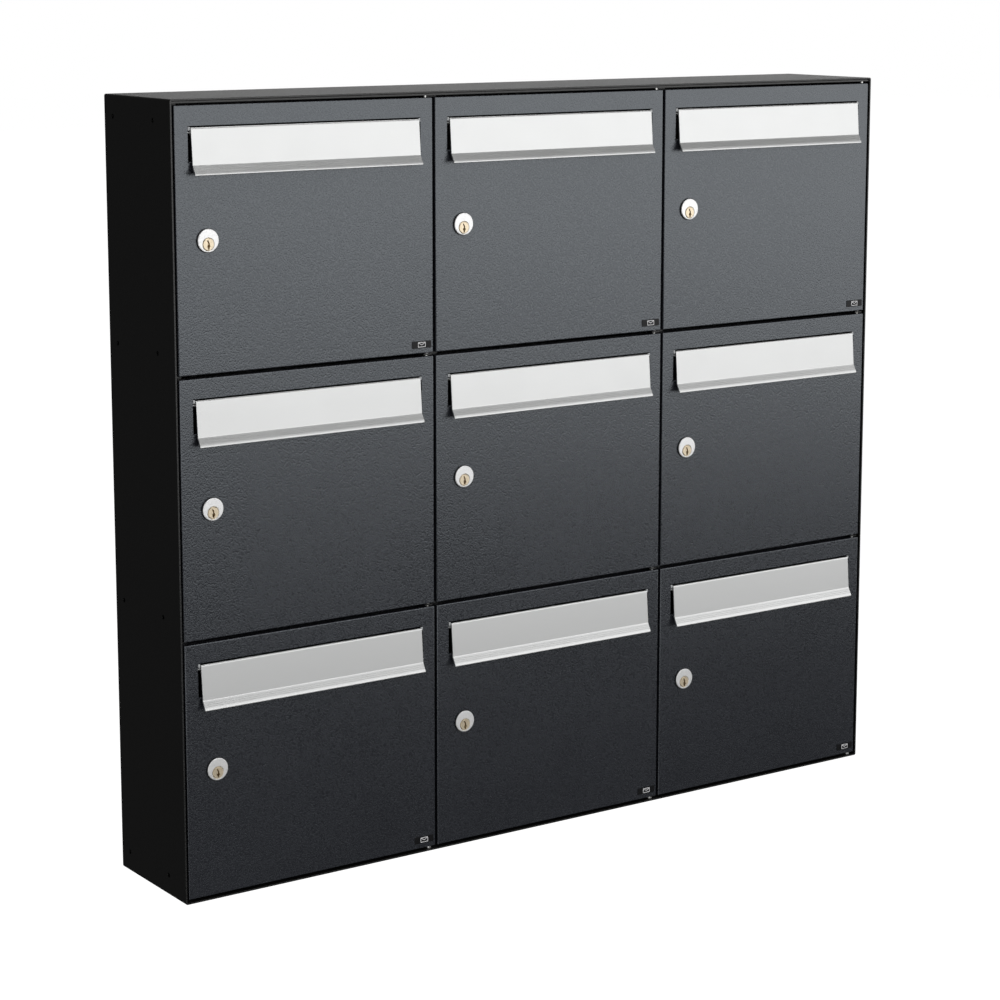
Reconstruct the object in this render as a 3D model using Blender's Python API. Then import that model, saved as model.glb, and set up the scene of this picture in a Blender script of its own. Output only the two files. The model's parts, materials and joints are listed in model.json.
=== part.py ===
"""Wall bank of nine letterboxes in one sheet steel casing: three rows of three.

Each letterbox has a door on an upright hinge rod at its right, a letter flap hung over a slot at the
top of the door, and a pin cylinder lock whose cam turns behind a strike on the left.

Metres, +Z up. The front faces -Y and the origin is the centre of the back panel's rear face.
"""

import math

import bmesh
import bpy
from mathutils import Matrix, Vector

# Grid: the pitch of the letterboxes, and the gaps between their doors
COLUMN_NAMES = ("left", "middle", "right")
ROW_NAMES = ("bottom", "middle", "top")
BOX_WIDTH = 0.370
BOX_HEIGHT = 0.330
COLUMN_GAP = 0.004
ROW_GAP = 0.0045

# Casing
CASING_DEPTH = 0.175
CASING_SHEET = 0.002
SIDE_GAP = 0.0029
TOP_GAP = 0.0058
BOTTOM_GAP = 0.0038
SIDE_HOLE_RADIUS = 0.003
SIDE_HOLE_DEPTHS = (0.0455, 0.153)
SIDE_HOLE_TOP_DROP = 0.027
SIDE_HOLE_FLOOR_RISE = 0.026
TOP_RAIL_DROP = 0.0008
TOP_RAIL_SHEET = 0.0023

# Sheets inside the casing
INNER_SHEET = 0.0015
STRIKE_WIDTH = 0.014
STRIP_LEG = 0.016
SHELF_GAP = 0.0012
SHELF_FLANGE = 0.010
TAB_WIDTH = 0.012
TAB_RECESS = 0.002
BACK_FLANGE = 0.012
WALL_HOLE_RADIUS = 0.004
WALL_HOLE_INSET_X = 0.120
WALL_HOLE_INSET_Z = 0.095

# Doors
DOOR_SHEET = 0.0012
DOOR_FLANGE = 0.015
DOOR_EDGE_ROUND = 0.0009
DOOR_EDGE_SEGMENTS = 2
APERTURE_WIDTH = 0.330
APERTURE_HEIGHT = 0.0425
APERTURE_DROP = 0.0245
SILL_REACH = 0.003
EAR_SHEET = 0.0015
EAR_RADIUS = 0.0045

# Hinge: one rod for each column, with a collar under each door
HINGE_INSET = 0.0075
HINGE_DEPTH = 0.006
ROD_RADIUS = 0.002
COLLAR_RADIUS = 0.0036
ROD_END = 0.0006

# Letter flap: a bent profile hung on two stubs
FLAP_SHEET = 0.002
FLAP_SIDE_GAP = 0.0033
FLAP_TOP_GAP = 0.0026
FLAP_STAND = 0.0002
FLAP_SLANT = 0.0035
FLAP_LAP = 0.0045
LIP_REACH = 0.0057
LIP_DROP = 0.012
PIVOT_DEPTH = 0.003
PIVOT_DROP = 0.008
BEAD_RADIUS = 0.0024
WEB_HALF = 0.0016
STUB_RADIUS = 0.0014
STUB_END = 0.0005

# Lock: a round pin cylinder, with its plug below the middle, and a cam on the plug's tail
LOCK_INSET = 0.042
LOCK_FACE_RADIUS = 0.0143
LOCK_FACE_PROUD = 0.0026
LOCK_FACE_ROUND = 0.0006
LOCK_BARREL_RADIUS = 0.013
LOCK_CAM_GAP = 0.0026
PLUG_RADIUS = 0.0073
PLUG_DROP = 0.0044
PLUG_PROUD = 0.0002
KEYWAY_WIDTH = 0.0024
KEYWAY_HEIGHT = 0.0085
KEYWAY_DROP = 0.0026
KEYWAY_DEPTH = 0.012
TAIL_RADIUS = 0.004
TAIL_HEAD_RADIUS = 0.0056
TAIL_HEAD_LENGTH = 0.0014
CAM_SHEET = 0.002
CAM_WIDTH = 0.013
CAM_OVERLAP = 0.008
CAM_STRIKE_GAP = 0.0018

# Finishes: name, colour, roughness and metallic share
FINISHES = {
    "casing": ("casing_black", (0.012, 0.012, 0.012), 0.55, 0.0),
    "door": ("door_anthracite", (0.065, 0.070, 0.078), 0.6, 0.0),
    "flap": ("flap_satin", (0.72, 0.72, 0.72), 0.35, 0.9),
    "lock": ("lock_bright", (0.78, 0.78, 0.78), 0.15, 1.0),
    "brass": ("plug_brass", (0.70, 0.52, 0.25), 0.3, 1.0),
    "zinc": ("zinc_plate", (0.60, 0.61, 0.62), 0.35, 1.0),
}

# Clearances
TOUCH = 0.0003
RUNNING = 0.0003
HINGE_PLAY = 0.0004

# Worked out from the sizes above
COLUMNS = len(COLUMN_NAMES)
ROWS = len(ROW_NAMES)
DOOR_WIDTH = BOX_WIDTH - COLUMN_GAP
DOOR_HEIGHT = BOX_HEIGHT - ROW_GAP
CASING_WIDTH = COLUMNS * BOX_WIDTH - COLUMN_GAP + 2 * (SIDE_GAP + CASING_SHEET)
DOOR_FIELD_HEIGHT = ROWS * BOX_HEIGHT - ROW_GAP
CASING_HEIGHT = DOOR_FIELD_HEIGHT + TOP_GAP + BOTTOM_GAP + 2 * CASING_SHEET
FRONT = -CASING_DEPTH
INNER_BACK = -INNER_SHEET - TOUCH
STRIKE_DEPTH = DOOR_FLANGE + TOUCH
SHELF_RECESS = STRIKE_DEPTH + INNER_SHEET + SHELF_GAP
CAM_DEPTH = STRIKE_DEPTH + INNER_SHEET + CAM_STRIKE_GAP
LOCK_LENGTH = CAM_DEPTH - LOCK_CAM_GAP
FLAP_HALF = APERTURE_WIDTH / 2 - FLAP_SIDE_GAP
SMALL_ROUND = 10
MEDIUM_ROUND = 16
LARGE_ROUND = 24
CAP_STEPS = 6
BEAD_STEPS = 9
CAM_STEPS = 8
CUT = 0.004
SHORT_CUT = 0.001


def door_left(column):
    """X of a door's left edge."""
    return -COLUMNS * BOX_WIDTH / 2 + COLUMN_GAP / 2 + column * BOX_WIDTH


def door_bottom(row):
    """Z of a door's bottom edge."""
    return -CASING_HEIGHT / 2 + CASING_SHEET + BOTTOM_GAP + row * BOX_HEIGHT


def gap_centre(column):
    """X of the middle of the gap at the left of a column."""
    return door_left(column) - COLUMN_GAP / 2


def floor_centre(row):
    """Z of the middle of the gap under a row."""
    return door_bottom(row) - ROW_GAP / 2


def hinge_x(column):
    """X of a column's hinge rod."""
    return door_left(column) + DOOR_WIDTH - HINGE_INSET


def clear_scene():
    """Remove every object of the open scene."""
    for obj in list(bpy.data.objects):
        bpy.data.objects.remove(obj, do_unlink=True)


def make_material(name, color, roughness, metallic):
    """A Principled material with one colour."""
    material = bpy.data.materials.new(name)
    material.use_nodes = True
    shader = material.node_tree.nodes["Principled BSDF"]
    shader.inputs["Base Color"].default_value = (*color, 1.0)
    shader.inputs["Roughness"].default_value = roughness
    shader.inputs["Metallic"].default_value = metallic
    material.diffuse_color = (*color, 1.0)
    return material


def mesh_object(name, mesh):
    """Link a mesh to the scene as a named object."""
    obj = bpy.data.objects.new(name, mesh)
    bpy.context.scene.collection.objects.link(obj)
    return obj


def mesh_from(build, name):
    """Make a mesh by handing an empty bmesh to a building function."""
    shape = bmesh.new()
    build(shape)
    bmesh.ops.recalc_face_normals(shape, faces=shape.faces)
    mesh = bpy.data.meshes.new(name)
    shape.to_mesh(mesh)
    shape.free()
    return mesh


def turned(profile, axis, centre, segments):
    """A round solid: (place along the axis, radius) pairs spun about an axis through a centre."""
    turn = Vector((0, 0, 1)).rotation_difference(Vector(axis)).to_matrix().to_4x4()
    place = Matrix.Translation(centre) @ turn

    def build(shape):
        rings = []
        for along, radius in profile:
            angles = [2 * math.pi * step / segments for step in range(segments)]
            ring = [(radius * math.cos(angle), radius * math.sin(angle), along) for angle in angles]
            rings.append([shape.verts.new(place @ Vector(point)) for point in ring])
        for lower, upper in zip(rings, rings[1:]):
            for step in range(segments):
                after = (step + 1) % segments
                shape.faces.new((lower[step], lower[after], upper[after], upper[step]))
        shape.faces.new(list(reversed(rings[0])))
        shape.faces.new(rings[-1])

    return mesh_from(build, "turned")


def rod(start, end, radius, axis, centre, segments=SMALL_ROUND):
    """A plain cylinder from start to end along an axis through a centre."""
    return turned([(start, radius), (end, radius)], axis, centre, segments)


def extruded(outline, low, high, place):
    """A flat outline pushed from low to high; place turns (u, v, along) into a point."""

    def build(shape):
        near = [shape.verts.new(place(u, v, low)) for u, v in outline]
        far = [shape.verts.new(place(u, v, high)) for u, v in outline]
        shape.faces.new(near)
        shape.faces.new(list(reversed(far)))
        for step in range(len(outline)):
            after = (step + 1) % len(outline)
            shape.faces.new((near[step], near[after], far[after], far[step]))

    return mesh_from(build, "extruded")


def box(low, high):
    """A block between two corners."""
    outline = [(low[0], low[1]), (high[0], low[1]), (high[0], high[1]), (low[0], high[1])]
    return extruded(outline, low[2], high[2], lambda u, v, along: (u, v, along))


def combined(base, joins=(), cuts=()):
    """The base mesh with other meshes joined to it and then cut from it."""
    work = mesh_object("work", base)
    helpers = []
    for operation, meshes in (("UNION", joins), ("DIFFERENCE", cuts)):
        for mesh in meshes:
            helper = mesh_object("helper", mesh)
            helper.hide_render = True
            helper.display_type = "WIRE"
            helpers.append(helper)
            step = work.modifiers.new(operation.lower(), "BOOLEAN")
            step.operation = operation
            step.solver = "EXACT"
            step.object = helper
    bpy.context.view_layer.update()
    graph = bpy.context.evaluated_depsgraph_get()
    result = bpy.data.meshes.new_from_object(work.evaluated_get(graph))
    for obj in [work, *helpers]:
        bpy.data.objects.remove(obj, do_unlink=True)
    return result


def rounded(mesh, sharp_above=40):
    """Smooth shading, with creases sharper than an angle left as edges."""
    mesh.shade_smooth()
    mesh.set_sharp_from_angle(angle=math.radians(sharp_above))
    return mesh


def casing_mesh():
    """Four walls open at the front and back, a rail under the top, and the fixing holes."""
    half_x, half_z = CASING_WIDTH / 2, CASING_HEIGHT / 2
    inner_x, inner_z = half_x - CASING_SHEET, half_z - CASING_SHEET
    outer = box((-half_x, FRONT, -half_z), (half_x, 0, half_z))
    hollow = box((-inner_x, FRONT - CUT, -inner_z), (inner_x, CUT, inner_z))
    rail_front, rail_back = FRONT + TAB_RECESS, FRONT + STRIKE_DEPTH - TOUCH
    rail_top = inner_z - TOP_RAIL_DROP
    rail_bottom = rail_top - TOP_RAIL_SHEET
    end = inner_x + CASING_SHEET / 2
    rail = box((-end, rail_front, rail_bottom), (end, rail_back, rail_top))
    web_top = inner_z + CASING_SHEET / 2
    web = box((-end, rail_back - TOP_RAIL_SHEET, rail_bottom), (end, rail_back, web_top))
    walls = combined(outer, cuts=[hollow])
    hole = ROD_RADIUS + RUNNING
    holes = []
    for column in range(COLUMNS):
        place = (hinge_x(column), FRONT + HINGE_DEPTH, 0)
        holes.append(rod(-half_z - CUT, -inner_z + SHORT_CUT, hole, (0, 0, 1), place))
        holes.append(rod(rail_bottom - SHORT_CUT, rail_top + TOP_RAIL_DROP / 2, hole, (0, 0, 1), place))
    floors = [-half_z] + [floor_centre(row) for row in range(1, ROWS)]
    heights = [floor + SIDE_HOLE_FLOOR_RISE for floor in floors] + [half_z - SIDE_HOLE_TOP_DROP]
    for depth in SIDE_HOLE_DEPTHS:
        for height in heights:
            for side in (-1, 1):
                ends = sorted((side * (inner_x - CUT), side * (half_x + CUT)))
                place = (0, FRONT + depth, height)
                holes.append(rod(*ends, SIDE_HOLE_RADIUS, (1, 0, 0), place))
    return combined(walls, [rail, web], holes)


def back_panel_mesh():
    """A shallow tray inside the casing's rear, with its flanges forward and four wall screw holes."""
    half_x = CASING_WIDTH / 2 - CASING_SHEET - TOUCH
    half_z = CASING_HEIGHT / 2 - CASING_SHEET - TOUCH
    tray = box((-half_x, -BACK_FLANGE, -half_z), (half_x, 0, half_z))
    low = (-half_x + INNER_SHEET, -BACK_FLANGE - CUT, -half_z + INNER_SHEET)
    high = (half_x - INNER_SHEET, -INNER_SHEET, half_z - INNER_SHEET)
    cuts = [box(low, high)]
    for side in (-1, 1):
        for level in (-1, 1):
            place = (side * (half_x - WALL_HOLE_INSET_X), 0, level * (half_z - WALL_HOLE_INSET_Z))
            cuts.append(rod(-BACK_FLANGE, CUT, WALL_HOLE_RADIUS, (0, 1, 0), place))
    return combined(tray, cuts=cuts)


def upright_angle(left, leg_end, flange_end):
    """A full height angle: a leg along Y at the left and a strike flange along +X at its front."""
    front = FRONT + STRIKE_DEPTH
    outline = [
        (left, front),
        (flange_end, front),
        (flange_end, front + INNER_SHEET),
        (left + INNER_SHEET, front + INNER_SHEET),
        (left + INNER_SHEET, leg_end),
        (left, leg_end),
    ]
    half = CASING_HEIGHT / 2 - CASING_SHEET - TOUCH
    return extruded(outline, -half, half, lambda u, v, along: (u, v, along))


def partition_mesh(column):
    """The upright wall at the left of a column, with the strike flange on its front."""
    left = gap_centre(column) - INNER_SHEET / 2
    half = CASING_HEIGHT / 2 - CASING_SHEET - TOUCH
    wall = upright_angle(left, INNER_BACK, left + STRIKE_WIDTH)
    cuts = []
    for level in (-1, 1):
        low, high = sorted((level * (half - INNER_SHEET - TOUCH), level * (half + CUT)))
        cuts.append(box((left - CUT, -BACK_FLANGE - TOUCH, low), (left + INNER_SHEET + CUT, CUT, high)))
    return combined(wall, cuts=cuts)


def strike_strip_mesh():
    """The angle on the casing's left wall that the first column's cams turn behind."""
    left = -CASING_WIDTH / 2 + CASING_SHEET + TOUCH
    flange_end = gap_centre(0) - INNER_SHEET / 2 + STRIKE_WIDTH
    return upright_angle(left, FRONT + STRIKE_DEPTH + STRIP_LEG, flange_end)


def shelf_ends(column):
    """The clear left and right X that a shelf fits between."""
    half = INNER_SHEET / 2 + TOUCH
    casing = CASING_WIDTH / 2 - CASING_SHEET - TOUCH
    left = gap_centre(column) + half if column else -casing
    right = gap_centre(column + 1) - half if column < COLUMNS - 1 else casing
    return left, right


def shelf_mesh(column):
    """A floor plate with flanges turned down at its sides and a hinge tab at its front right."""
    left, right = shelf_ends(column)
    front, back = FRONT + SHELF_RECESS, INNER_BACK
    rod_x = hinge_x(column)
    top, under = INNER_SHEET / 2, -INNER_SHEET / 2
    flange_low = under - SHELF_FLANGE
    outline = [(left, flange_low), (left, top), (right, top), (right, flange_low)]
    outline += [(right - INNER_SHEET, flange_low), (right - INNER_SHEET, under)]
    outline += [(left + INNER_SHEET, under), (left + INNER_SHEET, flange_low)]
    plate = extruded(outline, front, back, lambda u, v, along: (u, along, v))
    tab_left, tab_right = rod_x - TAB_WIDTH / 2, rod_x + TAB_WIDTH / 2
    tab = box((tab_left, FRONT + TAB_RECESS, under), (tab_right, front + CUT, top))
    place = (rod_x, FRONT + HINGE_DEPTH, 0)
    cuts = [rod(under - CUT, top + CUT, ROD_RADIUS + RUNNING, (0, 0, 1), place)]
    notch = INNER_SHEET + TOUCH
    low, high = flange_low - CUT, top + CUT
    rear = -BACK_FLANGE - TOUCH
    if column == 0:
        strip_end = FRONT + STRIKE_DEPTH + STRIP_LEG + TOUCH
        cuts.append(box((left - CUT, front - CUT, low), (left + notch, strip_end, high)))
        cuts.append(box((left - CUT, rear, low), (left + notch, CUT, high)))
    if column == COLUMNS - 1:
        cuts.append(box((right - notch, rear, low), (right + CUT, CUT, high)))
    return combined(plate, [tab], cuts)


def hinge_rod_mesh():
    """A rod from the casing's floor to its top rail, with a collar under each door."""
    bottom = -CASING_HEIGHT / 2
    top = CASING_HEIGHT / 2 - CASING_SHEET - TOP_RAIL_DROP
    profile = [(bottom + ROD_END, ROD_RADIUS)]
    for row in range(ROWS):
        under = floor_centre(row) + INNER_SHEET / 2 if row else bottom + CASING_SHEET
        low, high = under + TOUCH, door_bottom(row) - TOUCH
        profile += [(low, ROD_RADIUS), (low, COLLAR_RADIUS), (high, COLLAR_RADIUS), (high, ROD_RADIUS)]
    profile.append((top, ROD_RADIUS))
    return turned(profile, (0, 0, 1), (0, 0, 0), SMALL_ROUND)


def door_mesh():
    """A folded tray with the letter slot, its sill, the flap's ears and the lock and hinge holes.

    The origin is on the hinge rod's axis, at the door's mid height.
    """
    right, left = HINGE_INSET, HINGE_INSET - DOOR_WIDTH
    face, rear = -HINGE_DEPTH, DOOR_FLANGE - HINGE_DEPTH
    half = DOOR_HEIGHT / 2
    skin = face + DOOR_SHEET
    middle = (left + right) / 2
    slot_top = half - APERTURE_DROP
    slot_bottom = slot_top - APERTURE_HEIGHT

    def tray(shape):
        size = Matrix.Diagonal((DOOR_WIDTH, DOOR_FLANGE, DOOR_HEIGHT, 1))
        place = Matrix.Translation((middle, (face + rear) / 2, 0))
        bmesh.ops.create_cube(shape, size=1, matrix=place @ size)
        front = [edge for edge in shape.edges if all(vert.co.y < skin for vert in edge.verts)]
        bmesh.ops.bevel(
            shape, geom=front, offset=DOOR_EDGE_ROUND, segments=DOOR_EDGE_SEGMENTS, profile=0.5, affect="EDGES"
        )

    hollow = box(
        (left + DOOR_SHEET, skin, -half + DOOR_SHEET), (right - DOOR_SHEET, rear + CUT, half - DOOR_SHEET)
    )
    base = combined(mesh_from(tray, "tray"), cuts=[hollow])
    sill_end = APERTURE_WIDTH / 2
    sill = box(
        (middle - sill_end, face - SILL_REACH, slot_bottom - DOOR_SHEET),
        (middle + sill_end, skin - DOOR_SHEET / 2, slot_bottom),
    )
    pivot = (0, face + PIVOT_DEPTH, slot_top - PIVOT_DROP)
    joins, cuts = [sill], []
    for side in (-1, 1):
        near, far = middle + side * sill_end, middle + side * (sill_end + EAR_SHEET)
        low_x, high_x = sorted((near, far))
        low = (low_x, skin - DOOR_SHEET / 2, pivot[2] - EAR_RADIUS)
        joins.append(box(low, (high_x, pivot[1] + EAR_RADIUS, pivot[2] + EAR_RADIUS)))
        reach = STUB_RADIUS + RUNNING
        cuts.append(rod(low_x - SHORT_CUT, high_x + SHORT_CUT, reach, (1, 0, 0), pivot))
    cuts.append(box((middle - sill_end, face - CUT, slot_bottom), (middle + sill_end, skin + CUT, slot_top)))
    lock_place = (left + LOCK_INSET, 0, 0)
    lock_hole = LOCK_BARREL_RADIUS + TOUCH
    cuts.append(rod(face - CUT, skin + CUT, lock_hole, (0, 1, 0), lock_place, LARGE_ROUND))
    cuts.append(rod(-half - CUT, half + CUT, ROD_RADIUS + HINGE_PLAY, (0, 0, 1), (0, 0, 0)))
    return combined(base, joins, cuts)


def flap_outline():
    """The flap's section as (y, z) points about its pivot: panel, lip, and a bead on a web."""
    pivot = Vector((PIVOT_DEPTH, -PIVOT_DROP))
    top = Vector((-FLAP_SHEET - FLAP_STAND, -FLAP_TOP_GAP)) - pivot
    bend = top + Vector((-FLAP_SLANT, FLAP_TOP_GAP - APERTURE_HEIGHT - FLAP_LAP))
    tip = bend + Vector((-LIP_REACH, -LIP_DROP))
    panel, lip = (bend - top).normalized(), (tip - bend).normalized()
    panel_in, lip_in = Vector((-panel.y, panel.x)), Vector((-lip.y, lip.x))
    miter = (panel_in + lip_in).normalized()
    inner_top = top + panel_in * FLAP_SHEET
    inner_bend = bend + miter * FLAP_SHEET / miter.dot(panel_in)
    inner_tip = tip + lip_in * FLAP_SHEET

    def on_panel(height):
        return inner_top + panel * ((height - inner_top.y) / panel.y)

    half_round = FLAP_SHEET / 2
    crown = top + panel_in * half_round
    start = math.atan2(panel_in.y, panel_in.x)
    cap = [start + math.pi * step / CAP_STEPS for step in range(1, CAP_STEPS)]
    crown_points = [crown + half_round * Vector((math.cos(a), math.sin(a))) for a in cap]
    bead_start = math.pi + math.asin(WEB_HALF / BEAD_RADIUS)
    bead_turn = 2 * math.pi - 2 * math.asin(WEB_HALF / BEAD_RADIUS)
    steps = [bead_start + bead_turn * step / BEAD_STEPS for step in range(BEAD_STEPS + 1)]
    bead_points = [BEAD_RADIUS * Vector((math.cos(a), math.sin(a))) for a in steps]
    outline = [top, bend, tip, inner_tip, inner_bend, on_panel(-WEB_HALF)]
    outline += [*bead_points, on_panel(WEB_HALF), inner_top, *crown_points]
    return [tuple(point) for point in outline]


def flap_mesh():
    """The flap with a stub at each end; the origin is the middle of its pivot axis."""
    body = extruded(flap_outline(), -FLAP_HALF, FLAP_HALF, lambda u, v, along: (along, u, v))
    reach = APERTURE_WIDTH / 2 + EAR_SHEET + STUB_END
    stubs = []
    for side in (-1, 1):
        ends = sorted((side * (FLAP_HALF - CUT), side * reach))
        stubs.append(rod(*ends, STUB_RADIUS, (1, 0, 0), (0, 0, 0)))
    return combined(body, stubs)


def lock_body_mesh():
    """The pin cylinder's housing; the origin is on the plug's axis at the door's face."""
    back = -TOUCH
    profile = [
        (back - LOCK_FACE_PROUD, LOCK_FACE_RADIUS - LOCK_FACE_ROUND),
        (back - LOCK_FACE_PROUD + LOCK_FACE_ROUND, LOCK_FACE_RADIUS),
        (back, LOCK_FACE_RADIUS),
        (back, LOCK_BARREL_RADIUS),
        (LOCK_LENGTH, LOCK_BARREL_RADIUS),
    ]
    body = turned(profile, (0, 1, 0), (0, 0, PLUG_DROP), LARGE_ROUND)
    bore = PLUG_RADIUS + RUNNING
    return combined(body, cuts=[rod(-CUT, LOCK_LENGTH + CUT, bore, (0, 1, 0), (0, 0, 0), MEDIUM_ROUND)])


def plug_mesh():
    """The brass plug with its keyway, and the tail and screw head that hold the cam."""
    front = -TOUCH - LOCK_FACE_PROUD - PLUG_PROUD
    shoulder = CAM_DEPTH - TOUCH
    head = CAM_DEPTH + CAM_SHEET + TOUCH
    profile = [(front, PLUG_RADIUS), (shoulder, PLUG_RADIUS), (shoulder, TAIL_RADIUS)]
    profile += [(head, TAIL_RADIUS), (head, TAIL_HEAD_RADIUS)]
    profile.append((head + TAIL_HEAD_LENGTH, TAIL_HEAD_RADIUS))
    body = turned(profile, (0, 1, 0), (0, 0, 0), MEDIUM_ROUND)
    half = KEYWAY_WIDTH / 2
    low = (-half, front - CUT, -KEYWAY_DROP - KEYWAY_HEIGHT / 2)
    keyway = box(low, (half, front + KEYWAY_DEPTH, -KEYWAY_DROP + KEYWAY_HEIGHT / 2))
    return combined(body, cuts=[keyway])


def cam_mesh():
    """The cam plate, pointing down; turned a quarter to the left it lies behind the strike."""
    half = CAM_WIDTH / 2
    strike_edge = STRIKE_WIDTH - INNER_SHEET / 2 - COLUMN_GAP / 2
    length = LOCK_INSET - strike_edge + CAM_OVERLAP
    crown = [math.pi * step / CAM_STEPS for step in range(CAM_STEPS + 1)]
    outline = [(half * math.cos(angle), half * math.sin(angle)) for angle in crown]
    outline += [(-half, -length), (half, -length)]
    plate = extruded(outline, CAM_DEPTH, CAM_DEPTH + CAM_SHEET, lambda u, v, along: (u, along, v))
    ends = (CAM_DEPTH - CUT, CAM_DEPTH + CAM_SHEET + CUT)
    return combined(plate, cuts=[rod(*ends, TAIL_RADIUS + TOUCH, (0, 1, 0), (0, 0, 0))])


def add_empty(name, place, parent=None):
    """An empty on a joint's axis that moving pieces hang from."""
    empty = bpy.data.objects.new(name, None)
    empty.empty_display_size = 0.02
    bpy.context.scene.collection.objects.link(empty)
    empty.parent = parent
    empty.location = place
    return empty


def add_piece(name, mesh, place=(0, 0, 0), parent=None):
    """A named piece that shares its mesh with its like."""
    piece = mesh_object(name, mesh)
    piece.parent = parent
    piece.location = place
    return piece


def with_material(mesh, material):
    """Give a mesh one material and round shading."""
    mesh.materials.clear()
    mesh.materials.append(material)
    return rounded(mesh)


def build_cabinet(materials):
    """The casing, the sheets inside it and the hinge rods."""
    add_piece("casing_shell", with_material(casing_mesh(), materials["casing"]))
    add_piece("back_panel", with_material(back_panel_mesh(), materials["casing"]))
    strip = with_material(strike_strip_mesh(), materials["casing"])
    add_piece("left_strike_strip", strip)
    for column in range(1, COLUMNS):
        name = f"partition_{COLUMN_NAMES[column - 1]}_{COLUMN_NAMES[column]}"
        add_piece(name, with_material(partition_mesh(column), materials["casing"]))
    for column, column_name in enumerate(COLUMN_NAMES):
        mesh = with_material(shelf_mesh(column), materials["casing"])
        for row in range(1, ROWS):
            name = f"shelf_{ROW_NAMES[row]}_{column_name}"
            add_piece(name, mesh, (0, 0, floor_centre(row)))
    mesh = with_material(hinge_rod_mesh(), materials["zinc"])
    for column, column_name in enumerate(COLUMN_NAMES):
        place = (hinge_x(column), FRONT + HINGE_DEPTH, 0)
        add_piece(f"hinge_rod_{column_name}", mesh, place)


def build_letterboxes(materials):
    """Nine doors, each with its flap and its lock."""
    door = with_material(door_mesh(), materials["door"])
    flap = with_material(flap_mesh(), materials["flap"])
    lock_body = with_material(lock_body_mesh(), materials["lock"])
    plug = with_material(plug_mesh(), materials["brass"])
    cam = with_material(cam_mesh(), materials["zinc"])
    slot_middle = HINGE_INSET - DOOR_WIDTH / 2
    pivot_height = DOOR_HEIGHT / 2 - APERTURE_DROP - PIVOT_DROP
    for row, row_name in enumerate(ROW_NAMES):
        for column, column_name in enumerate(COLUMN_NAMES):
            where = f"{row_name}_{column_name}"
            middle = door_bottom(row) + DOOR_HEIGHT / 2
            hinge = add_empty(f"hinge_axis_{where}", (hinge_x(column), FRONT + HINGE_DEPTH, middle))
            add_piece(f"door_{where}", door, parent=hinge)
            pivot = (slot_middle, PIVOT_DEPTH - HINGE_DEPTH, pivot_height)
            flap_axis = add_empty(f"flap_axis_{where}", pivot, hinge)
            add_piece(f"flap_{where}", flap, parent=flap_axis)
            lock_place = (HINGE_INSET - DOOR_WIDTH + LOCK_INSET, -HINGE_DEPTH, -PLUG_DROP)
            lock_axis = add_empty(f"lock_axis_{where}", lock_place, hinge)
            add_piece(f"lock_body_{where}", lock_body, lock_place, hinge)
            add_piece(f"lock_plug_{where}", plug, parent=lock_axis)
            add_piece(f"lock_cam_{where}", cam, parent=lock_axis)


def main():
    """Build the whole bank."""
    clear_scene()
    materials = {key: make_material(*look) for key, look in FINISHES.items()}
    build_cabinet(materials)
    build_letterboxes(materials)


if __name__ == "__main__":
    main()
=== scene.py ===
"""Looks for a wall bank of nine letterboxes: three rows of three in one black sheet casing.

The frame fixes every place and every joint. Each sub-assembly below is a class that holds its own
sizes, builds its meshes from them and dresses them in a finish. Metres, +Z up, the front at -Y.
"""

import json
import logging
import math
from collections.abc import Callable, Iterable, Mapping, Sequence
from dataclasses import dataclass, field
from enum import Enum
from typing import Any

import bmesh
import bpy
from mathutils import Euler, Matrix, Vector


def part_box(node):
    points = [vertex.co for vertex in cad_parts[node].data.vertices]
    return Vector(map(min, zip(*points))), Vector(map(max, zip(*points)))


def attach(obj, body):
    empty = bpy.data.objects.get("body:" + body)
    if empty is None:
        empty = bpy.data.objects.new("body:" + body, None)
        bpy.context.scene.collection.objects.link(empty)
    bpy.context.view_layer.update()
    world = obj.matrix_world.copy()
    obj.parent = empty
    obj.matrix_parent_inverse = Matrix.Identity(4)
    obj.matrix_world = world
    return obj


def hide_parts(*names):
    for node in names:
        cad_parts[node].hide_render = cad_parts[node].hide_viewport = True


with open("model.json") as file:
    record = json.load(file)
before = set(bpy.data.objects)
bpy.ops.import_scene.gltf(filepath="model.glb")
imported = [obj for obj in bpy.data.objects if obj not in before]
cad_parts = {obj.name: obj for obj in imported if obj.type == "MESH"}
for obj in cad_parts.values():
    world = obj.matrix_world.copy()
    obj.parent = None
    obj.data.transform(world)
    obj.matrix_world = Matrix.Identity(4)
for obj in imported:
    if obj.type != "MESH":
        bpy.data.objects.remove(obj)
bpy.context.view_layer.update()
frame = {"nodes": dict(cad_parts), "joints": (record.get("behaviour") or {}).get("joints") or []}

log = logging.getLogger("letterboxes")

Colour = tuple[float, float, float]
Flat = tuple[float, float]
Triple = tuple[float, float, float]

ORIGIN: Triple = (0.0, 0.0, 0.0)
ALONG_X: Triple = (1.0, 0.0, 0.0)
ALONG_Y: Triple = (0.0, 1.0, 0.0)
ALONG_Z: Triple = (0.0, 0.0, 1.0)
ROW_NAMES = ("bottom", "middle", "top")
COLUMN_NAMES = ("left", "middle", "right")
BADGE_ROWS = ("bottom", "top")
CUT = 0.004
HAIR = 0.0002
QUARTER = math.pi / 2
FEW_SIDES = 24
SIDES = 32
MANY_SIDES = 64
BEVEL_STEPS = 2
NO_LENGTH = 1e-6
SHARPEST_LEAN = 0.5
TURNED_FROM = "turned_from"


# ---- Node trees


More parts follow.
